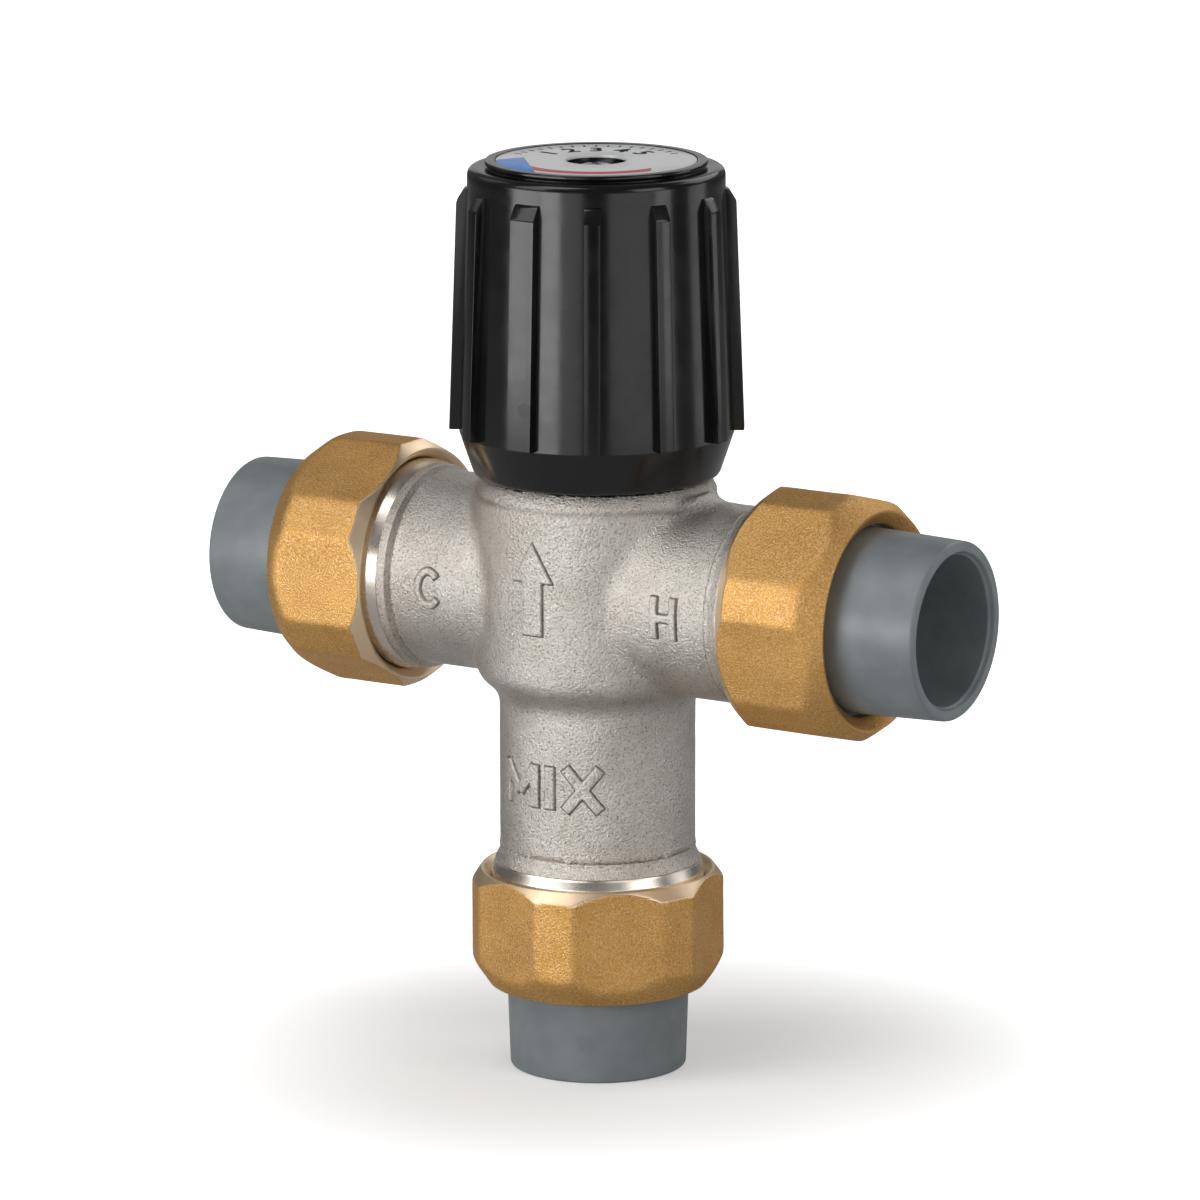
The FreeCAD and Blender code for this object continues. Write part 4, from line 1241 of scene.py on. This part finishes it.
            # Painted shade with some grime: the mark's walls and its low halo get a high cavity
            # value, which the material darkens into a dark outline.
            wall = 1.0 - min(max(out / self.letter_relief - 0.35, 0.0) / 0.45, 1.0)
            cavity.append(self.mark_grime_and_shade * wall)
            out += self.mark_unevenness * noise.noise(vertex.co * 900)
            if port is Port.MIX:
                angle = across / radius
                spot = Vector((math.sin(angle), -math.cos(angle), 0)) * (radius + out)
                vertex.co = centre + spot + Vector((0, 0, up))
            else:
                angle = up / radius
                spot = Vector((0, -math.cos(angle), math.sin(angle))) * (radius + out)
                vertex.co = centre + spot + Vector((across, 0, 0))
        add_values(piece.data, "cavity", cavity)
        smooth_by_angle(piece.data, 60)
        return placed(piece, NICKEL, "valve", "nickel_plate")


# --- Knob ---
@dataclass
class Knob:
    """Moulded cap: turned shell, ribs round it, drive post inside."""

    bottom: float = 17.4 * MM
    top: float = 64.5 * MM
    skirt_top: float = 23.6 * MM
    skirt_radius: float = 18.5 * MM
    belt_radius: float = 20.5 * MM
    shoulder: float = 60.5 * MM
    shoulder_radius: float = 19.15 * MM
    crown: float = 63.55 * MM
    crown_round: float = 2.8 * MM
    rim_radius: float = 16.55 * MM
    rim_height: float = 0.85 * MM
    neck_radius: float = 16.2 * MM
    mouth: float = 16.9 * MM
    wall: float = 1.9 * MM
    recess_radius: float = 15.0 * MM
    recess: float = 0.5 * MM
    top_wall: float = 2.2 * MM
    well_radius: float = 4.6 * MM
    well_floor: float = 61.0 * MM
    post_radius: float = 6.5 * MM
    post_bottom: float = 49.3 * MM
    socket_top: float = 59.0 * MM
    rib_count: int = 12
    rib_width: float = 2.35 * MM
    index_width: float = 4.0 * MM
    rib_height: float = 1.5 * MM
    rib_top: float = 58.2 * MM
    rib_edge: float = 0.26 * MM
    segments: int = 240

    def build(self) -> list[Object]:
        """Make the knob and put it in place of its CAD node.

        Returns:
            The pieces made.
        """
        low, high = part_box("knob")
        self.level = high.z - self.top
        shell = turned("knob_shell", self.outline(), self.segments)
        smooth_by_angle(shell, 30)
        ribs = self.rib_ring()
        index = self.rib(self.index_width)
        index.transform(Matrix.Rotation(math.radians(-90), 4, "Z"))
        whole = joined("knob_moulding", [shell, ribs, index])
        piece = link_mesh("knob_moulding", whole)
        return [placed(piece, BLACK, "knob_assembly", "black_plastic", "knob")]

    def side_radius(self, height: float) -> float:
        """Radius of the tapered side between the ribs."""
        share = (height - self.skirt_top) / (self.shoulder - self.skirt_top)
        return self.belt_radius + share * (self.shoulder_radius - self.belt_radius)

    def outline(self) -> Outline:
        """Outline of the shell with its cavity, post and screw well."""
        rim_low = self.top - self.rim_height
        ceiling = self.top - self.recess - self.top_wall
        floor = self.top - self.recess
        edge = 0.25 * MM
        socket = 4.08 * MM
        hole = 2.3 * MM
        corners: Profile = [
            (self.mouth, self.bottom, edge), (self.skirt_radius - 0.35 * MM, self.bottom, edge),
            (self.skirt_radius, self.bottom + 0.5 * MM, edge),
            (self.belt_radius - 0.1 * MM, self.skirt_top - 0.1 * MM, edge),
            (self.belt_radius, self.skirt_top + 0.15 * MM, edge),
            (self.shoulder_radius, self.shoulder, 0.5 * MM),
            (self.shoulder_radius, self.crown, self.crown_round),
            (self.neck_radius, self.crown - 0.1 * MM, edge * 0.5),
            (self.neck_radius, rim_low, edge * 0.5), (self.rim_radius, rim_low + edge, edge),
            (self.rim_radius, self.top, edge * 1.4),
            (self.recess_radius, self.top, edge * 0.7), (self.recess_radius, floor, 0.1 * MM),
            (self.well_radius, floor, 0.15 * MM), (self.well_radius, self.well_floor, edge),
            (hole, self.well_floor, edge), (hole, self.socket_top, 0.0),
            (socket, self.socket_top, 0.0),
            (socket, self.post_bottom, edge), (self.post_radius, self.post_bottom, edge),
            (self.post_radius, ceiling, edge), (self.rim_radius - self.wall, ceiling, edge),
            (self.side_radius(58 * MM) - self.wall, 57 * MM, edge),
            (self.belt_radius - self.wall, self.skirt_top, edge)]
        return [(radius, height + self.level) for radius, height in rounded(corners, 6)]

    def rib(self, width: float) -> Mesh:
        """One rib on the +X side, with softened edges.

        Args:
            width: Width of the rib.

        Returns:
            Its mesh.
        """
        foot = self.skirt_top + 0.35 * MM
        cap_top = self.shoulder - 0.2 * MM
        outer_top = self.side_radius(self.rib_top) + self.rib_height
        corners: Profile = [
            (self.side_radius(foot) - 0.8 * MM, foot, 0.0),
            (self.side_radius(foot) + self.rib_height, foot, 0.25 * MM),
            (outer_top, self.rib_top, 0.3 * MM),
            (self.shoulder_radius + 0.3 * MM, cap_top, 0.5 * MM),
            (self.shoulder_radius - 0.9 * MM, cap_top + 0.1 * MM, 0.0)]
        outline = rounded(corners, 6)
        half = width / 2
        points, faces = prism(outline, (-half, half))
        points = [Vector((r, side, h + self.level)) for r, h, side in points]
        mesh = mesh_from("rib", points, faces)
        inner = self.side_radius(self.rib_top)
        with editing(mesh) as work:
            lines = [edge for edge in work.edges
                     if abs(edge.verts[0].co.y - edge.verts[1].co.y) < 1e-7
                     and min(v.co.x for v in edge.verts) > inner - 0.5 * MM
                     and abs(edge.verts[0].co.y) > half - 1e-7]
            bmesh.ops.bevel(work, geom=lines, offset=self.rib_edge, segments=3, profile=0.5,
                            affect="EDGES", clamp_overlap=True)
            bmesh.ops.recalc_face_normals(work, faces=work.faces)
        smooth_by_angle(mesh, 26)
        return mesh

    def rib_ring(self) -> Mesh:
        """The equal ribs, set round the shell: every rib except the wide one."""
        step = 360 / self.rib_count
        return around_axis("ribs", self.rib(self.rib_width), BLACK, self.rib_count - 1, step,
                           -90 + step)


def around_axis(name: str, shape: Mesh, finish: Finish, count: int, step: float,
                start: float) -> Mesh:
    """Repeat a shape about the Z axis with the node tree, as plain mesh.

    Args:
        name: Name of the tree.
        shape: Mesh of one copy.
        finish: What the copies are made of.
        count: How many copies.
        step: Angle from one to the next, in degrees.
        start: Angle of the first, in degrees.

    Returns:
        Mesh of all the copies.
    """
    piece = link_mesh(name, shape)
    tree = around_axis_tree(name + "_round_axis", finish.build())
    modifier = piece.modifiers.new(name, "NODES")
    modifier.node_group = tree
    values = {"Count": count, "Step": step, "Start": start}
    for item in tree.interface.items_tree:
        if item.in_out == "INPUT" and item.name in values:
            modifier[item.identifier] = values[item.name]
    mesh = baked(piece).data
    bpy.data.objects.remove(piece)
    return mesh


def around_axis_tree(name: str, material: Material) -> NodeTree:
    """Node tree that repeats a shape about the Z axis.

    Args:
        name: Name of the tree.
        material: What the result is made of.

    Returns:
        A tree with inputs Count, Step and Start, the last two in degrees.
    """
    tree = bpy.data.node_groups.new(name, "GeometryNodeTree")
    sockets = (("Geometry", "Geometry"), ("Count", "Int"), ("Step", "Float"), ("Start", "Float"))
    for label, kind in sockets:
        tree.interface.new_socket(label, in_out="INPUT", socket_type="NodeSocket" + kind)
    tree.interface.new_socket("Geometry", in_out="OUTPUT", socket_type="NodeSocketGeometry")
    sketch = Sketch(tree)
    start = sketch.add("NodeGroupInput").outputs
    spots = sketch.wire(sketch.add("GeometryNodePoints"), start["Count"])
    index = sketch.add("GeometryNodeInputIndex").outputs[0]
    turn = sketch.plus(sketch.times(index, start["Step"]), start["Start"])
    euler = sketch.feed(sketch.add("ShaderNodeCombineXYZ"), Z=sketch.math("RADIANS", turn))
    copies = sketch.feed(sketch.add("GeometryNodeInstanceOnPoints"), Points=spots,
                         Instance=start["Geometry"], Rotation=euler.outputs[0])
    real = sketch.wire(sketch.add("GeometryNodeRealizeInstances"), copies.outputs[0])
    paint = sketch.feed(sketch.add("GeometryNodeSetMaterial"), Geometry=real, Material=material)
    sketch.put(sketch.add("NodeGroupOutput").inputs[0], paint.outputs[0])
    return tree


@dataclass
class Label:
    """Printed disc on the knob: its film, with numerals and ticks in raised ink."""

    heading: float = 31.8
    hole: float = 4.6 * MM
    ink_height: float = 0.02 * MM
    digit_height: float = 3.1 * MM
    digit_radius: float = 9.3 * MM
    digit_step: float = 24.0
    tick_radius: float = 12.9 * MM
    tick: tuple[float, float] = (1.1 * MM, 0.3 * MM)
    tick_count: int = 17
    tick_step: float = 8.0

    def build(self) -> list[Object]:
        """Make the disc and its print.

        Returns:
            The pieces made.
        """
        low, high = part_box("knob_label")
        self.top = high.z
        edge = 0.06 * MM
        outline = rounded([(self.hole, low.z, 0.0), (high.x, low.z, 0.0), (high.x, high.z, edge),
                           (self.hole, high.z, edge)], 2)
        disc = turned("label_disc", outline, 144)
        layer = disc.uv_layers.new(name="print")
        face_on = Matrix.Rotation(math.radians(-self.heading), 3, "Z")
        for loop in disc.loops:
            spot = face_on @ disc.vertices[loop.vertex_index].co / (FILM.span * MM)
            layer.data[loop.index].uv = (spot.x + 0.5, spot.y + 0.5)
        smooth_by_angle(disc, 40)
        film = link_mesh("label_disc", disc)
        ink = link_mesh("label_ink", joined("label_ink", [*self.digits(), self.ticks()]))
        return [placed(film, FILM, "knob_assembly", "label_film", "knob_label"),
                placed(ink, INK, "knob_assembly", "label_film")]

    def digits(self) -> list[Mesh]:
        """Numerals 1 to 5 round the far side of the print."""
        meshes = []
        for number in range(5):
            curve = bpy.data.curves.new("digit", "FONT")
            curve.body = str(number + 1)
            curve.align_x = "CENTER"
            curve.align_y = "CENTER"
            curve.size = self.digit_height / 0.7
            curve.extrude = self.ink_height / 2
            curve.offset = 0.12 * MM
            curve.resolution_u = 3
            source = link_mesh("digit", curve)
            graph = bpy.context.evaluated_depsgraph_get()
            mesh = bpy.data.meshes.new_from_object(source.evaluated_get(graph))
            bpy.data.objects.remove(source)
            turn = self.heading + self.digit_step * (2 - number)
            mesh.transform(Matrix.Translation((0, 0, self.top + self.ink_height / 2))
                           @ Matrix.Rotation(math.radians(turn), 4, "Z")
                           @ Matrix.Translation((0, self.digit_radius, 0)))
            with editing(mesh) as work:
                bmesh.ops.remove_doubles(work, verts=work.verts, dist=0.001 * MM)
            mesh.materials.clear()
            meshes.append(mesh)
        return meshes

    def ticks(self) -> Mesh:
        """Scale ticks round the far side, set out by the node tree."""
        long, wide = self.tick
        base = self.top
        corners = [Vector((self.tick_radius + x * long / 2, y * wide / 2, base + z))
                   for z in (0, self.ink_height) for x, y in ((-1, -1), (1, -1), (1, 1), (-1, 1))]
        faces = [(0, 1, 2, 3), (4, 5, 6, 7), (0, 1, 5, 4), (1, 2, 6, 5), (2, 3, 7, 6),
                 (3, 0, 4, 7)]
        start = self.heading + 90 - self.tick_step * (self.tick_count - 1) / 2
        return around_axis("ticks", mesh_from("tick", corners, faces), INK, self.tick_count,
                           self.tick_step, start)


@dataclass
class Screw:
    """Bright cross-recess screw that holds the knob."""

    head_radius: float = 3.7 * MM
    shank_radius: float = 2.0 * MM
    dome: float = 0.75 * MM
    recess: tuple[float, float] = (4.4 * MM, 0.85 * MM)
    recess_depth: float = 1.7 * MM
    recess_turn: float = 52
    head_height: float = 2.2 * MM

    def build(self) -> Object:
        """Make the screw and put it in place of its CAD node.

        Returns:
            The finished piece.
        """
        low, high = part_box("knob_screw")
        seat = high.z - self.head_height
        outline = rounded([
            (0.05 * MM, low.z, 0.0), (self.shank_radius, low.z, 0.3 * MM),
            (self.shank_radius, seat, 0.1 * MM), (self.head_radius, seat, 0.2 * MM),
            (self.head_radius, high.z - 0.3 * MM, 0.5 * MM),
            (self.head_radius * 0.6, high.z + self.dome * 0.75, 1.0 * MM),
            (0.05 * MM, high.z + self.dome, 0.0)], 5)
        piece = link_mesh("screw", turned("screw", outline, 72))
        long, wide = self.recess
        tools = []
        for x, y in ((long, wide), (wide, long)):
            top, floor = high.z + 2 * MM, high.z + self.dome - self.recess_depth
            place = Matrix.Translation((0, 0, (top + floor) / 2))
            turn = Matrix.Rotation(math.radians(self.recess_turn), 4, "Z")
            mesh = bpy.data.meshes.new("recess")
            with editing(mesh) as work:
                bmesh.ops.create_cube(work, size=1.0)
                work.transform(place @ turn @ Matrix.Diagonal((x, y, top - floor, 1.0)))
            tools.append(link_mesh("recess", mesh))
            cut = piece.modifiers.new("cut", "BOOLEAN")
            cut.operation = "DIFFERENCE"
            cut.solver = "EXACT"
            cut.object = tools[-1]
        baked(piece)
        for tool in tools:
            bpy.data.objects.remove(tool)
        smooth_by_angle(piece.data, 35)
        return placed(piece, PLATED, "knob_assembly", "steel", "knob_screw")


# --- Return spring ---
@dataclass
class ReturnSpring:
    """Coil under the shuttle, cut into two halves."""

    weld: float = 0.001 * MM
    halves: tuple[tuple[str, str, str], ...] = (
        ("return_spring_low", "valve", "plunger_assembly"),
        ("return_spring_high", "plunger_assembly", "shuttle_assembly"))

    def build(self, frame: dict) -> list[Object]:
        """Cut the CAD coil at half its height into two halves with the cut closed.

        Returns:
            The lower and the upper half.
        """
        source = frame["nodes"]["return_spring"].data
        low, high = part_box("return_spring")
        middle = (low + high) / 2
        ends = ((low, middle), (middle, high))
        pieces = []
        for (name, first, second), (start, end) in zip(self.halves, ends):
            piece = link_mesh(name, self.half(name, source, middle, start is low))
            smooth_by_angle(piece.data, 35)
            dress(piece, STEEL)
            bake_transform(piece)
            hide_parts("return_spring")
            pieces.append(piece)
        return pieces

    def half(self, name: str, source: Mesh, middle: Vector,
             lower: bool) -> Mesh:
        """Keep what lies on one side of the middle, with the cut closed.

        Args:
            name: Name of the new mesh.
            source: The whole coil.
            middle: A point at half height.
            lower: Whether the lower side is kept.

        Returns:
            The closed half.
        """
        mesh = source.copy()
        mesh.name = name
        with editing(mesh) as work:
            bmesh.ops.remove_doubles(work, verts=work.verts, dist=self.weld)
            bmesh.ops.bisect_plane(work, geom=[*work.verts, *work.edges, *work.faces],
                                   plane_co=middle, plane_no=(0.0, 0.0, 1.0),
                                   clear_outer=lower, clear_inner=not lower)
            bmesh.ops.holes_fill(work, edges=[edge for edge in work.edges if edge.is_boundary])
            bmesh.ops.triangulate(work, faces=work.faces)
        return mesh


# --- Nodes that keep their CAD form ---
NODE_FINISHES: dict[str, Finish] = {
    "bonnet": TURNED_BRASS, "spindle": TURNED_BRASS, "plunger": TURNED_BRASS,
    "spring_cup": TURNED_BRASS, "thermostat_element": COPPER, "element_pin": STEEL,
    "cup_ring": STEEL, "overload_spring": STEEL, "spring_rest": STEEL, "spindle_clip": STEEL,
    "shuttle": INNER, "spindle_washer": INNER,
    "bonnet_o_ring": RUBBER, "spindle_o_ring": RUBBER, "shuttle_o_ring": RUBBER,
    "cold_gasket": RUBBER, "hot_gasket": RUBBER, "mix_gasket": RUBBER,
}


def dress_nodes(frame: dict) -> None:
    """Give the nodes that keep their CAD form their finishes.
    """
    for node, finish in NODE_FINISHES.items():
        dress(frame["nodes"][node], finish)
        LOG.info("node %s: %s", node, finish.name)


# --- Studio ---
@dataclass(frozen=True)
class Lamp:
    """Rectangular soft lamp, placed by its angles from the camera's side."""

    name: str
    around: float
    up: float
    power: float
    width: float = 0.42
    height: float = 0.42
    away: float = 0.9


LAMPS = (
    Lamp("left_box", -65, 4, 0.66, 0.24, 0.20, 0.5),
    Lamp("left_front_box", -41, 4, 0.52, 0.17, 0.20, 0.5),
    Lamp("front_left", -21, 4, 0.12, 0.16, 0.20, 0.5),
    Lamp("front_right", 30, 4, 0.24, 0.36, 0.20, 0.5),
    Lamp("right_box", 60, 4, 0.19, 0.14, 0.20, 0.5),
    Lamp("right_edge", 100, 4, 0.14, 0.20, 0.20, 0.5),
    Lamp("left_high", -65, 38, 1.1), Lamp("over", -60, 65, 1.5),
    Lamp("right_high", 50, 30, 1.1), Lamp("right_back", 120, 35, 0.8),
    Lamp("back", 150, 35, 0.7), Lamp("left_back", -125, 35, 0.25),
    Lamp("behind", 180, 13, 0.2, 0.5, 0.3),
)


@dataclass
class Studio:
    """Camera, lamps, floor and world."""

    azimuth: float = 31.78
    elevation: float = 12.23
    roll: float = -0.13
    distance: float = 1.1974
    right: float = 0.409 * MM
    above: float = -2.143 * MM
    lens: float = 240.3
    target: float = 73.5 * MM
    # Painted shadow: the floor's camera-ray glow at the foot, and the radii over which it rises to
    # full white.
    shadow_pool_glow: float = 0.27
    shadow_pool_radii: tuple[float, float] = (22 * MM, 115 * MM)
    floor_albedo: tuple[float, float] = (0.80, 0.50)
    room: float = 0.12

    def build(self) -> None:
        """Set up everything that isn't the object."""
        self.camera()
        self.floor()
        self.world()
        for lamp in LAMPS:
            self.lamp(lamp)

    def camera(self) -> None:
        """Long lens from the front right, a little above the ports."""
        a = math.radians(self.azimuth)
        back = self.direction(self.azimuth, self.elevation)
        side = Vector((math.cos(a), math.sin(a), 0))
        up = back.cross(side)
        r = math.radians(self.roll)
        right = side * math.cos(r) + up * math.sin(r)
        upward = up * math.cos(r) - side * math.sin(r)
        place = back * self.distance + right * self.right + upward * self.above
        place += Vector((0, 0, self.target))
        data = bpy.data.cameras.new("camera")
        data.lens = self.lens
        data.sensor_width = 36.0
        data.clip_start = 0.05
        data.clip_end = 50
        camera = bpy.data.objects.new("camera", data)
        turn = Matrix((right, upward, back)).transposed().to_4x4()
        camera.matrix_world = Matrix.Translation(place) @ turn
        bpy.context.scene.collection.objects.link(camera)
        bpy.context.scene.camera = camera

    def floor(self) -> None:
        """White floor that keeps the object's soft shadow, with a painted shadow near the foot
        where its camera-ray glow is weaker.
        """
        size = 6.0
        corners = [Vector((x, y, 0)) for x, y in
                   ((-size, -size), (size, -size), (size, size), (-size, size))]
        floor = link_mesh("studio_floor", mesh_from("studio_floor", corners, [(0, 1, 2, 3)]))
        material = bpy.data.materials.new("studio_white")
        material.use_nodes = True
        sketch = Sketch(material.node_tree)
        seen, around = (sketch.wire(sketch.add("ShaderNodeBsdfDiffuse"), (share, share, share))
                        for share in self.floor_albedo)
        place = sketch.add("ShaderNodeTexCoord")
        away = sketch.add("ShaderNodeVectorMath", operation="LENGTH")
        sketch.wire(away, place.outputs["Object"])
        # Painted shadow: the camera-ray glow is weakest near the foot and rises to full white
        # farther out.
        near, far = self.shadow_pool_radii
        painted_shadow_fade = sketch.ramp(away.outputs["Value"], near, far, self.shadow_pool_glow, 1.0)
        glow = sketch.wire(sketch.add("ShaderNodeEmission"), (1.0, 1.0, 1.0), painted_shadow_fade)
        both = sketch.wire(sketch.add("ShaderNodeAddShader"), seen, glow)
        sketch.feed(sketch.add("ShaderNodeOutputMaterial"),
                    Surface=self.for_camera(sketch, both, around))
        floor.data.materials.append(material)

    def world(self) -> None:
        """Dim room light, with a white backdrop for camera rays."""
        world = bpy.data.worlds.new("studio")
        world.use_nodes = True
        bpy.context.scene.world = world
        sketch = Sketch(world.node_tree)
        white, room = (sketch.wire(sketch.add("ShaderNodeBackground"), colour, strength)
                       for colour, strength in (((1.0, 1.0, 1.0), 1.0),
                                                ((1.0, 0.99, 0.97), self.room)))
        sketch.feed(sketch.add("ShaderNodeOutputWorld"),
                    Surface=self.for_camera(sketch, white, room))
        bpy.context.scene.view_settings.view_transform = "Standard"

    @staticmethod
    def for_camera(sketch: Sketch, seen: NodeSocket, other: NodeSocket) -> NodeSocket:
        """One shader for camera rays and another for all other rays."""
        rays = sketch.add("ShaderNodeLightPath").outputs["Is Camera Ray"]
        return sketch.wire(sketch.add("ShaderNodeMixShader"), rays, other, seen)

    @staticmethod
    def direction(around: float, up: float) -> Vector:
        """Direction at an azimuth and an elevation, in degrees."""
        a, e = math.radians(around), math.radians(up)
        return Vector((math.sin(a) * math.cos(e), -math.cos(a) * math.cos(e), math.sin(e)))

    def lamp(self, lamp: Lamp) -> None:
        """Add one soft lamp, aimed at the middle of the object.

        Args:
            lamp: What it is and where it stands.
        """
        data = bpy.data.lights.new(lamp.name, "AREA")
        data.shape = "RECTANGLE"
        data.size, data.size_y = lamp.width, lamp.height
        data.energy = lamp.power
        piece = bpy.data.objects.new(lamp.name, data)
        away = self.direction(self.azimuth + lamp.around, lamp.up)
        turn = away.to_track_quat("Z", "Y").to_matrix().to_4x4()
        spot = away * lamp.away + Vector((0, 0, self.target))
        piece.matrix_world = Matrix.Translation(spot) @ turn
        bpy.context.scene.collection.objects.link(piece)


def main() -> None:
    """Load the frame and dress it."""
    logging.basicConfig(level=logging.INFO, format="%(name)s: %(message)s")
    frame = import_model()
    Studio().build()
    dress_nodes(frame)
    pieces = Casting().build(frame)
    for port, turn in NUT_TURNS.items():
        pieces.append(UnionNut(port, turn).build())
        pieces.append(Tailpiece(port).build())
    pieces += Knob().build()
    pieces += Label().build()
    pieces.append(Screw().build())
    pieces += ReturnSpring().build(frame)
    for piece in pieces:
        LOG.info("piece %s: %d faces", piece.name, len(piece.data.polygons))


if __name__ == "__main__":
    main()
